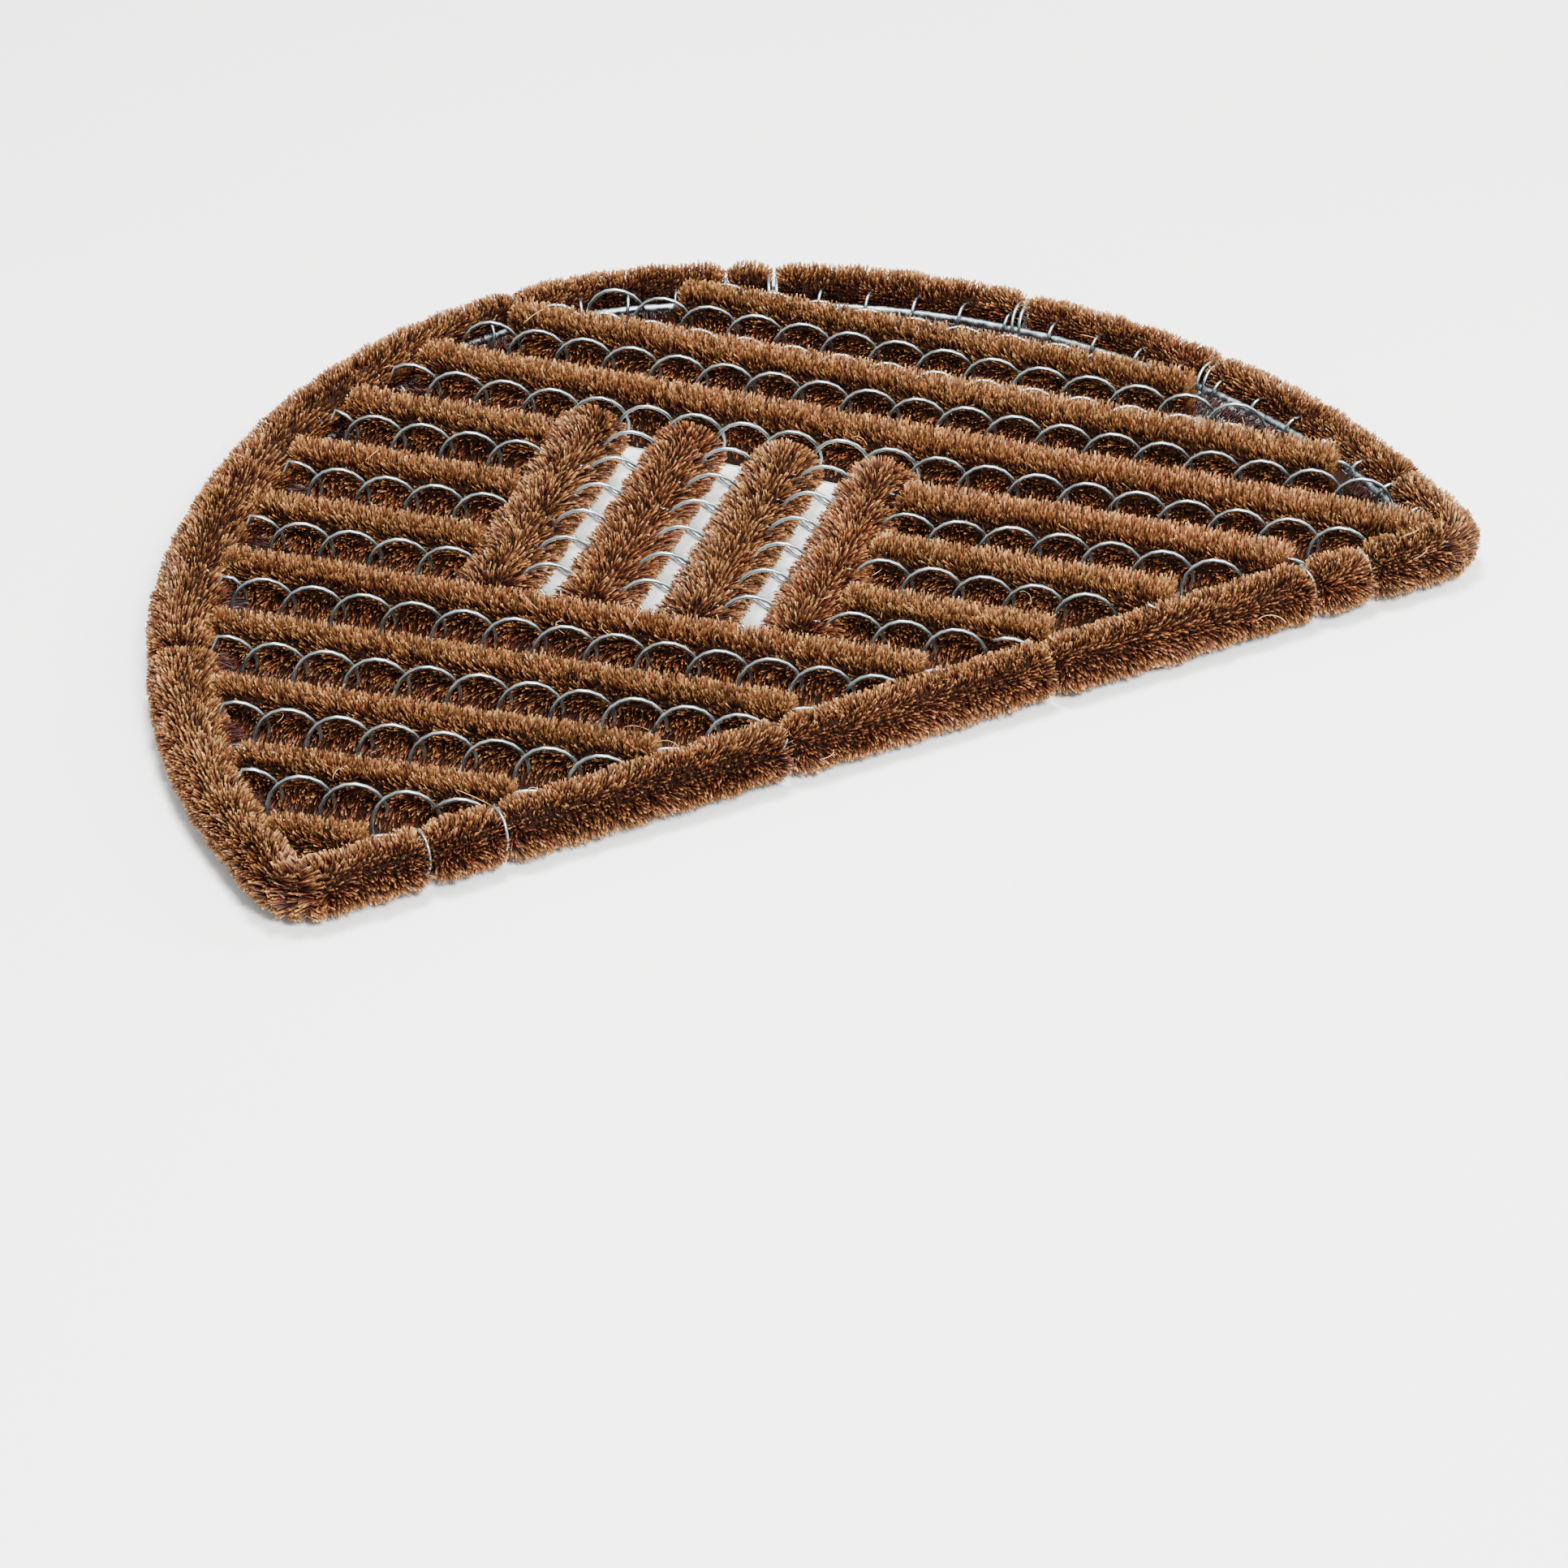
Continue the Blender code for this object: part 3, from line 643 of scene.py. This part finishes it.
def coil_line(column, span):
    """One wire coil through a stretch of v. Every second turn stands in a channel, the others are
    pressed into the brush rows, and in the block a coil is bare or filled all along. On the left the
    rim's bristles press its last turns down."""
    start, end = span
    count = int((end - start) / COIL_PITCH * COIL_TURN_STEPS) + 1
    v = end - np.arange(count) * COIL_PITCH / COIL_TURN_STEPS
    turn = -(v + ROW_SPACING / 2) / COIL_PITCH * math.tau + math.pi / 2
    shows = 0.5 - 0.5 * np.cos(v / ROW_SPACING * math.tau)
    top = COIL_SUNK + (COIL_RISE - COIL_SUNK) * shows
    if abs(column) < BLOCK_BRUSHES:
        block = (v < BLOCK_REACH - COIL_PITCH / 4) & (v > -BLOCK_REACH - COIL_PITCH / 2)
        top[block] = COIL_BURIED if column % 2 else COIL_RISE
    behind = ((v - BACK_FROM) / BACK_EASE).clip(0, 1) * (1 - shows)
    behind = behind * (column * COIL_PITCH < BACK_LINE[0] - BACK_LINE[1] * v)
    top += (COIL_BACK - COIL_SUNK) * behind
    rise = np.where(np.sin(turn) > 0, top, COIL_RISE)
    u = column * COIL_PITCH + COIL_HALF * np.cos(turn)
    z = COIL_MIDDLE + rise * np.sin(turn)
    back = (row_back(u, v) + 2 * MM) * behind * np.sin(turn).clip(0)
    plan = lattice(u, v + back)
    depth, facing = rod_facing(plan)
    clear = ease(((depth - rim_reach(facing)) / UNDER_RIM_EASE + UNDER_RIM_LEAD).clip(0, 1))
    z = np.minimum(z, np.where(facing[:, 0] < 0, UNDER_RIM + UNDER_RIM_FREE * clear, np.inf))
    return np.concatenate([plan, z[:, None]], 1)


def coil_span(column):
    """The stretch of v in which a coil's middle lies inside the rod. Past the right end of a row that
    is cut short, a coil goes on only as far as the last arch that shows."""
    middle = column * COIL_PITCH
    depth = depth_inside(lattice(middle, PLACES_V))
    far, near = row_v(1) + COIL_TAIL, row_v(LAST_ROW) - COIL_TAIL
    for row in ROW_SHORTER:
        if middle > row_top_limits(row)[1]:
            crown = lattice(np.array([middle]), row_v(row) - ROW_SPACING / 2)
            stands = depth_inside(crown)[0] > CROWN_CLEAR
            far = min(far, row_v(row) - COIL_PITCH / 2 if stands else row_v(row + 1) + COIL_TAIL)
    inside = PLACES_V[(depth > -WIRE_RADIUS) & (PLACES_V < far) & (PLACES_V > near)]
    return (inside.min(), inside.max()) if len(inside) else None


def build_coils(materials, wire_nodes):
    """Interlinked wire coils side by side from rod to rod, all as one piece."""
    lines = []
    reach = int(MAT_WIDTH / COIL_PITCH)
    for column in range(-reach, reach):
        span = coil_span(column)
        if span and span[1] - span[0] > 2 * COIL_PITCH:
            lines.append(coil_line(column, span))
    coils = tubes_object("wire_coils", lines, WIRE_RADIUS, 8, materials["wire"])
    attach(coils, "root")
    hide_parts(*wire_nodes)


# Brush rows

def row_back(u, v):
    """Across place of a row's back top edge; towards the far right the tops are broader, but the
    first row's is narrow along the rod."""
    first_row = np.clip((v - FIRST_ROW_FROM) / FIRST_ROW_EASE, 0, 1)
    return ROW_TOP_BACK + TOP_WIDER_RIGHT * u + TOP_WIDER_FAR * v - FIRST_ROW_NARROWER * first_row


def row_top_limits(row):
    """Where the trimmed top of a row is cut square at both ends."""
    v = row_v(row)
    depth, facing = rod_facing(lattice(PLACES_U, v - 6 * MM))
    start = np.interp(facing[:, 1], ROW_START_FACING, ROW_START_DEPTH)
    start = np.where(facing[:, 0] < 0, start, 1) * MM
    first = PLACES_U[depth > start].min()
    last = span_inside(v + ROW_TOP_FRONT / 2, ROD_RADIUS + 1.5 * MM)[1]
    clear = depth_inside(lattice(PLACES_U, v + row_back(PLACES_U, v))) > 0
    return first, min(last, PLACES_U[clear].max()) - ROW_SHORTER.get(row, 0)


def row_heart(row, low, high):
    """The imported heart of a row, a narrow ridge on a flat foot."""
    v = row_v(row)
    top_first, top_last = row_top_limits(row)
    edges = []
    for across, height in HEART_FOOT + HEART_RIDGE:
        if across > 0.02:
            across += HEART_FOOT_WIDER.get(row, 0)
        first, last = span_inside(v + across, -HEART_PAST_ROD)
        while last - first <= HEART_STEP:
            across *= 0.8
            first, last = span_inside(v + across, -HEART_PAST_ROD)
        if height > RIDGE_FROM:
            first, last = top_first + HEART_INSET, top_last - HEART_INSET
        if row == 1:
            last = min(last, top_last)
        edges.append((across, height, max(first, low + HEART_INSET), min(last, high - HEART_INSET)))
    _, _, first, last = max(edges, key=lambda edge: edge[1])
    count = max(3, int((last - first) / HEART_STEP))
    sections = []
    for step in range(count + 1):
        section = []
        for across, height, first, last in edges:
            u = first + (last - first) * step / count
            if row == ROW_PAST_BLOCK and abs(u) < BLOCK_HALF:
                across = max(across, HEART_FRONT_AT_BLOCK)
            if height > RIDGE_FROM and across > -0.005:
                across += row_back(np.array(u), v)
            plan = lattice(np.array(u), np.array(v + across))
            lift = CHANCE.uniform(-0.0015, 0.0015) if height > RIDGE_FROM else 0
            section.append((*plan, height + lift))
        sections.append(section)
    return loft(sections)


def top_strands(row, first, last):
    """Upright bristles, trimmed flat on top."""
    v = row_v(row)
    width = row_back(np.array((first + last) / 2), v) - ROW_TOP_FRONT
    count = int((last - first) * width / MM ** 2 * TOP_DENSITY)
    u = CHANCE.uniform(first, last, count)
    across = ROW_TOP_FRONT + CHANCE.uniform(0, 1, count) * (row_back(u, v) - ROW_TOP_FRONT)
    place, tuft = tufted(np.stack([u, across], 1))
    lean = clumps(place, 0.008, 2.6 * MM) + CHANCE.normal(0, 1.8 * MM, count)
    z = ROW_TOP - np.abs(CHANCE.normal(0, 0.9 * MM, count)) + clumps(place, 0.022, 0.5 * MM)
    z -= 0.5 * TUFT_DEPTH * (1 - tuft)
    share = CHANCE.uniform(0.30, 0.50, count)
    root_across = ROW_CLAMP[0] + (across - ROW_CLAMP[0]) * share + CHANCE.normal(0, 0.8 * MM, count)
    root = np.stack([u + lean, root_across, ROW_CLAMP[1] + (z - ROW_CLAMP[1]) * share], 1)
    tip = np.stack([place[:, 0], place[:, 1], z], 1)
    # Painted shade: roots dark, tips lit, some tips painted a little darker at random
    bright = 1.0 - 0.33 * CHANCE.uniform(0, 1, count) ** 1.7
    return root, tip, np.full(count, 0.08), bright, tuft


def flank_strands(row, first, last, profile, density):
    """Bristles of a row's front or back, which fan out from the clamp down to the floor."""
    count = int((last - first) / MM * density)
    fall = CHANCE.uniform(0, 1, count)
    u = CHANCE.uniform(first, last, count)
    u += (u - (first + last) / 2) / ((last - first) / 2) * 5 * MM * (fall > 0.7)
    steps = np.linspace(0, 1, len(profile))
    face = np.stack([np.interp(fall, steps, column) for column in zip(*profile)], 1)
    if profile is ROW_BACK:
        face[:, 0] += row_back(u, row_v(row)) * (1 - fall)
    elif row == ROW_PAST_BLOCK:
        face[:, 0] = np.where(np.abs(u) < BLOCK_HALF, face[:, 0].clip(FRONT_AT_BLOCK), face[:, 0])
    place = np.stack([u, fall * 0.03], 1)
    swell = 1 + clumps(place, 0.012, 0.05) + CHANCE.normal(0, 0.04, count)
    face = ROW_CLAMP + (face - ROW_CLAMP) * swell[:, None]
    lean = clumps(place, 0.009, 2.5 * MM) + CHANCE.normal(0, 2.0 * MM, count)
    share = CHANCE.uniform(0.35, 0.6, count)[:, None]
    root = np.concatenate([(u + lean)[:, None], ROW_CLAMP + (face - ROW_CLAMP) * share], 1)
    moved, tuft = tufted(place)
    tip = np.concatenate([moved[:, :1], face], 1)
    # Painted shade: the lower down the flank, the darker its roots and tips
    return root, tip, 0.10 - 0.1 * fall, 0.98 - 0.30 * fall, tuft


def end_strands(row, end, side):
    """Bristles of a row's cut end face; the side is -1 at its left end and 1 at its right."""
    count = END_BRISTLES
    edge = row_back(np.array(end), row_v(row))
    across = ROW_TOP_FRONT + CHANCE.uniform(-0.05, 1.05, count) * (edge - ROW_TOP_FRONT)
    height = CHANCE.uniform(0.004, 0.0355, count)
    spread = 2 + 3 * (1 - height / ROW_TOP)
    tip = np.stack([end + side * CHANCE.uniform(0, 1, count) * spread * MM, across, height], 1)
    root = np.stack([
        end - side * 4 * MM + CHANCE.normal(0, 1 * MM, count),
        ROW_CLAMP[0] + (across - ROW_CLAMP[0]) * 0.6,
        (height - CHANCE.uniform(0.005, 0.011, count)).clip(0.002),
    ], 1)
    tuft = tufted(tip[:, 1:])[1]
    # Painted shade: tips low on the end face darker than high ones, roots in shade
    return root, tip, np.full(count, 0.15), 0.5 + 0.45 * (height / ROW_TOP) ** 1.5, tuft


def row_strands(row, low, high):
    """Roots and tips of a row's bristles, the painted shade of each end by how near the light it is, and
    their tufts' tones.
    """
    first, last = row_top_limits(row)
    first, last = max(first, low), min(last, high)
    parts = [
        top_strands(row, first, last),
        flank_strands(row, first, last, ROW_FRONT, FRONT_DENSITY),
        flank_strands(row, first, last, ROW_BACK, BACK_DENSITY),
        end_strands(row, first, -1),
        end_strands(row, last, 1),
    ]
    root, tip, dark, bright, tuft = (np.concatenate(column) for column in zip(*parts))
    for ends in (root, tip):
        ends[:, 2] = ends[:, 2].clip(FLOOR_CLEAR_ROW)
    past_rod = np.where(tip[:, 2] > ROD_HEIGHT + ROD_RADIUS + 2 * MM, -6 * MM, ROD_RADIUS)
    inside = depth_inside(lattice(tip[:, 0], row_v(row) + tip[:, 1])) > past_rod
    places = []
    for local in (root[inside], tip[inside]):
        plan = lattice(local[:, 0], row_v(row) + local[:, 1])
        places.append(np.concatenate([plan, local[:, 2:3]], 1))
    return places[0], places[1], (dark[inside], bright[inside]), tuft[inside]


def build_rows(materials):
    """The brush rows, those beside the block in two pieces each."""
    for row in range(1, LAST_ROW + 1):
        name = f"brush_row_{row:02d}"
        if row in BLOCK_ROWS:
            pieces = [(f"{name}_left", -1.0, -BLOCK_HALF), (f"{name}_right", BLOCK_HALF, 1.0)]
        else:
            pieces = [(name, -1.0, 1.0)]
        for node, low, high in pieces:
            roots, tips, shades, tuft = row_strands(row, low, high)
            looks = strand_looks(tips, tuft, CHANCE.uniform(0.45, 0.6))
            build_brush(node, row_heart(row, low, high), roots, tips, shades, looks, materials)


# Round brushes of the block and the rim

def round_strands(length, density, angles, radius, notch, rim_start=None):
    """Bristles that radiate from a line: (distance along, sideways, height over the line), the painted
    shade of each end by how near the light it is, and their tufts' tones. The brush is drawn in over
    a notch at both ends.
    A rim brush starts at a length along the rod, follows its bends and has a flat inner face."""
    count = int(length / MM * density)
    along = CHANCE.uniform(0, length, count)
    angle = CHANCE.uniform(*angles, count)
    if rim_start is not None:
        # Drawn anew, more closely on the outer side of a bend
        along, angle = rim_crowd(rim_start, length, count, angles)
        count = len(along)
    place = np.stack([along, angle * radius], 1)
    size = radius * (1 - np.abs(CHANCE.normal(0, 0.03, count))) + clumps(place, 0.012, 0.7 * MM)
    size -= 0.6 * MM * (1 + np.cos(along / COIL_PITCH * math.tau))
    moved, tuft = tufted(place)
    size -= TUFT_DEPTH * (0.65 - tuft)
    push = np.zeros(count)
    full = np.zeros(count)
    if rim_start is not None:
        slope = -np.sin(angle)
        room = rim_room(rim_start + along)
        size = np.where(slope > 0, np.minimum(size, room / slope.clip(0.05)), size)
        full = ((room - RIM_MIDDLE) / (10 * MM)).clip(0, 1) * (angle < 0)
        push = (room - radius).clip(0) * ease((-angle / 0.9).clip(0, 1))
        push += rim_bulge(rim_start + along) * ((-angle - 1.5) / 0.3).clip(0, 1)
    lean = clumps(place, 0.010, 2.5 * MM) + CHANCE.normal(0, 1.5 * MM, count)
    twist = clumps(place, 0.012, 0.12) + CHANCE.normal(0, 0.10, count)
    end_near = (1 - along / notch).clip(0, 1)
    end_far = (1 - (length - along) / notch).clip(0, 1)
    tip_size = size * (1 - 0.26 * np.maximum(end_near, end_far) ** 2)
    root_along = along + lean + (end_near - end_far) * notch * 0.5
    turned = moved[:, 1] / radius
    height = np.cos(turned)
    height = np.where(height > 0, height.clip(1e-6) ** (1 - 0.45 * full), height)
    tip = np.stack([moved[:, 0], tip_size * np.sin(turned) - push, tip_size * height], 1)
    short = tip_size * CHANCE.uniform(0.42, 0.62, count)
    root = np.stack([
        root_along, short * np.sin(angle + twist) - 0.9 * push, short * np.cos(angle + twist),
    ], 1)
    # Painted shade and light: roots darker further round from the top; on the outer side a darker band
    # past the top and paler bristles low down, as lit from the floor; on the inner side the bristles low
    # under the rod painted darker for their shade
    outer = np.interp(angle, (0.3, 1.3, 2.2), (1, 0.84, 0.98))
    bright = np.where(angle < 0, 0.84 + 0.16 * np.cos(angle), outer)
    bright -= 0.25 * CHANCE.uniform(0, 1, count) ** 2
    bright *= 1 - 0.45 * ((-angle - 0.9) / 0.8).clip(0, 1)
    dark = 0.08 * np.cos(angle).clip(0, 1)
    return root, tip, (dark, bright), tuft


def round_section(size):
    """Sideways and upward places of a round heart's section."""
    ring = np.arange(8) * math.tau / 8 + math.tau / 16
    return np.cos(ring) * size, np.sin(ring) * size


def block_heart(u):
    """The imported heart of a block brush."""
    sections = []
    last = 9
    for step in range(last + 1):
        length = BLOCK_FAR_END - BLOCK_NEAR_END - 2 * BLOCK_HEART_INSET
        v = BLOCK_NEAR_END + BLOCK_HEART_INSET + length * step / last
        sideways, upward = round_section(BLOCK_HEART * (0.75 if step in (0, last) else 1))
        plan = lattice(u + 1.2 * sideways, np.full(8, v))
        sections.append(np.concatenate([plan, (BRUSH_MIDDLE + upward)[:, None]], 1))
    return loft(sections)


def build_block(materials):
    """The round brushes of the middle block, side by side along the coils."""
    length = BLOCK_FAR_END - BLOCK_NEAR_END
    for number in range(BLOCK_BRUSHES):
        u = (number - (BLOCK_BRUSHES - 1) / 2) * ROW_SPACING
        root, tip, shades, tuft = round_strands(
            length, BLOCK_DENSITY, BLOCK_ANGLES, BRUSH_HALF, BLOCK_NOTCH,
        )
        places = []
        for local in (root, tip):
            plan = lattice(u + local[:, 1] * BLOCK_WIDER, BLOCK_NEAR_END + local[:, 0])
            height = (BRUSH_MIDDLE + local[:, 2]).clip(FLOOR_CLEAR_ROUND)
            places.append(np.concatenate([plan, height[:, None]], 1))
        looks = strand_looks(places[1], tuft, CHANCE.uniform(0.4, 0.55))
        build_brush(f"block_brush_{number + 1}", block_heart(u), *places, shades, looks, materials)


def rim_reach(facing):
    """How far the bristles of the rim reach over the rod, on the left, by how the rod faces there."""
    return np.interp(facing[:, 1], RIM_OVER_FACING, RIM_OVER_ROD) * MM * (facing[:, 0] < 0)


def rim_room(length):
    """From the middle of the rim brush to its flat inner face, at lengths along the rod."""
    _, out, sag = rod_place(length)
    return RIM_MIDDLE + sag - 0.5 * MM + rim_reach(out)


def rim_bulge(length):
    """How much further in the bristles under the rod reach, which they do round the arc."""
    out = rod_place(length)[1]
    return RIM_BULGE * (out[:, 1] + 0.2).clip(0, 0.2) / 0.2


def rim_crowd(start, length, count, angles):
    """Distances along and angles of a rim brush's bristles: more of them on the outer side of a bend,
    which is longer, and some that reach down to the floor."""
    most = RIM_CROWDING
    along = CHANCE.uniform(0, length, count * most)
    angle = CHANCE.uniform(*angles, count * most)
    crowd = 1 + rod_bend(start + along) * (RIM_MIDDLE + RIM_RADIUS * np.sin(angle))
    chosen = CHANCE.uniform(0, most, count * most) < crowd
    along, angle = along[chosen], angle[chosen]
    under = CHANCE.uniform(0, 1, len(along)) < RIM_UNDER_SHARE
    down = np.copysign(CHANCE.uniform(*RIM_UNDER_ANGLES, len(along)), angle)
    return along, np.where(under, down, angle)


def nearest_length(x, y):
    """Distance along the rod of the place nearest to a point from the middle of the straight edge."""
    point = np.array([x, y - MAT_DEPTH / 2])
    share = (np.einsum("ij,ij->i", point - ROD, ROD_STEP) / ROD_STEP_LENGTH ** 2).clip(0, 1)
    gap = np.linalg.norm(ROD + ROD_STEP * share[:, None] - point, axis=1)
    index = gap.argmin()
    return ROD_MARKS[index] + ROD_STEP_LENGTH[index] * share[index]


def rim_marks():
    """The rim's joints in order along the rod: distance, how many loops of wire, and their radius."""
    return sorted((nearest_length(x, y), loops, half * MM) for x, y, loops, half in RIM_JOINTS)


def rim_world(local, start):
    """Points of the rim from (distance along the rod, outward of the rod, height)."""
    place, out, _ = rod_place(start + local[:, 0])
    return np.concatenate([place + out * local[:, 1:2], local[:, 2:3]], 1)


def rim_heart(start, length):
    """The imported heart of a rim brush, wider where the brush reaches over the rod."""
    count = max(3, int(length / RIM_HEART_STEP))
    sections = []
    for step in range(count + 1):
        sideways, upward = round_section(RIM_HEART * (0.75 if step in (0, count) else 1))
        along = np.full(8, HEART_INSET + (length - 2 * HEART_INSET) * step / count)
        sag = rod_place(start + along)[2]
        wider = (rim_room(start + along) - RIM_RADIUS).clip(0) * 0.8
        sideways = sideways - np.where(sideways < 0, wider, 0)
        local = np.stack([along, RIM_MIDDLE + sag + 1 * MM + sideways, RIM_HEIGHT + 1.1 * upward], 1)
        sections.append(rim_world(local, start))
    return loft(sections)


def build_rim(materials, marks):
    """The round brushes of the rim, end to end outside the rod."""
    for number, (start, _, _) in enumerate(marks):
        end = marks[(number + 1) % len(marks)][0]
        length = (end - start) % ROD_LENGTH
        root, tip, shades, tuft = round_strands(
            length, RIM_DENSITY, RIM_ANGLES, RIM_RADIUS, RIM_NOTCH, rim_start=start,
        )
        places = []
        for local in (root, tip):
            sag = rod_place(start + local[:, 0])[2]
            height = (RIM_HEIGHT + local[:, 2]).clip(FLOOR_CLEAR_ROUND)
            moved = np.stack([local[:, 0], RIM_MIDDLE + sag + local[:, 1], height], 1)
            places.append(rim_world(moved, start))
        looks = strand_looks(places[1], tuft, CHANCE.uniform(0.4, 0.55))
        build_brush(
            f"rim_brush_{number + 1:02d}", rim_heart(start, length), *places, shades, looks, materials,
        )


def build_rim_wire(materials, marks):
    """The coil that binds the rim brushes to the rod, looped over it, and the end loops at joints."""
    turns = round(ROD_LENGTH / COIL_PITCH)
    turn = np.arange(turns * COIL_TURN_STEPS) * math.tau / COIL_TURN_STEPS
    along = (turn - RIM_COIL_LEAN * np.sin(turn + math.pi / 4)) / math.tau * ROD_LENGTH / turns
    outward = RIM_COIL_MIDDLE - RIM_COIL_HALF * np.cos(turn)
    local = np.stack([along, outward, COIL_MIDDLE - RIM_COIL_HALF * np.sin(turn)], 1)
    coil = tubes_object("rim_coil", [rim_world(local, 0)], WIRE_RADIUS, 6, materials["wire"], closed=True)
    loops = []
    angle = np.arange(LOOP_STEPS) * math.tau / LOOP_STEPS
    for mark, number, half in marks:
        for loop in range(number):
            along = (loop - (number - 1) / 2) * LOOP_SPACING + LOOP_LEAN * np.sin(angle)
            outward = half - LOOP_INWARD - half * np.cos(angle)
            ring = np.stack([along, outward, COIL_MIDDLE + half * np.sin(angle)], 1)
            loops.append(rim_world(ring, mark))
    joints = tubes_object("joint_wires", loops, WIRE_RADIUS, 6, materials["wire"], closed=True)
    for piece in (coil, joints):
        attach(piece, "root")


def build_strays(materials):
    """Loose fibres that stand out of the brushes in long thin curls."""
    lines = []
    for start in STRAY_STARTS:
        heading, curl = CHANCE.uniform(0, math.tau), CHANCE.normal(0, 1.8)
        length, lift = CHANCE.uniform(*STRAY_LENGTHS) * MM, CHANCE.uniform(-0.2, 0.9)
        point = start - np.array([0, 0, 2 * MM])
        line = [point]
        for step in range(STRAY_STEPS):
            heading += curl / STRAY_STEPS
            run = np.array([math.cos(heading), math.sin(heading), lift - step * 0.15])
            point = point + unit(run) * length / STRAY_STEPS
            point[2] = point[2].clip(1 * MM, STRAY_TOP)
            line.append(point)
        lines.append(np.array(line))
    strays = tubes_object("stray_fibres", lines, STRAY_RADIUS, 3, materials["fibre"])
    # First channel 0.97: the strays are painted as lit all along, with a pale tone and little rust
    looks = np.tile(np.array([0.97, 0.85, 0.3, 1.0], np.float32), len(strays.data.vertices))
    strays.data.color_attributes.new("fibre", "FLOAT_COLOR", "POINT").data.foreach_set("color", looks)
    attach(strays, "root")


# Stage

def look_at(obj, target):
    obj.rotation_mode = "QUATERNION"
    obj.rotation_quaternion = (Vector(target) - obj.location).to_track_quat("-Z", "Y")


def build_stage():
    """Pale floor, camera, white sky and soft lamps."""
    half = FLOOR_HALF
    floor = mesh_object(
        "floor", [(-half, -half, 0), (half, -half, 0), (half, half, 0), (-half, half, 0)],
        np.array([[0, 1, 2, 3]]), [floor_finish()],
    )
    scene = bpy.context.scene
    camera = bpy.data.objects.new("camera", bpy.data.cameras.new("camera"))
    scene.collection.objects.link(camera)
    camera.location = CAMERA_PLACE
    look_at(camera, CAMERA_TARGET)
    camera.data.sensor_width = CAMERA_SENSOR
    camera.data.lens = CAMERA_LENS
    scene.camera = camera

    world = bpy.data.worlds.new("studio")
    scene.world = world
    world.use_nodes = True
    background = world.node_tree.nodes["Background"]
    background.inputs["Color"].default_value = linear("#FFFFFF")
    background.inputs["Strength"].default_value = SKY_STRENGTH
    for name, place, size, power in LAMPS:
        data = bpy.data.lights.new(name, "AREA")
        data.size = size
        data.energy = power
        lamp = bpy.data.objects.new(name, data)
        scene.collection.objects.link(lamp)
        lamp.location = place
        look_at(lamp, (0, 0, 0))


def main():
    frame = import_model()
    wire_nodes = [node for node in sorted(frame["nodes"]) if node.startswith(("wire_channel", "gap_coil"))]
    materials = {
        "fibre": coir_fibre(),
        "heart": coir_heart(),
        "wire": galvanised_wire(),
        "rod": galvanised_rod(),
    }
    marks = rim_marks()
    build_rod(materials)
    build_coils(materials, wire_nodes)
    build_rows(materials)
    build_block(materials)
    build_rim(materials, marks)
    build_rim_wire(materials, marks)
    build_strays(materials)
    build_stage()


main()
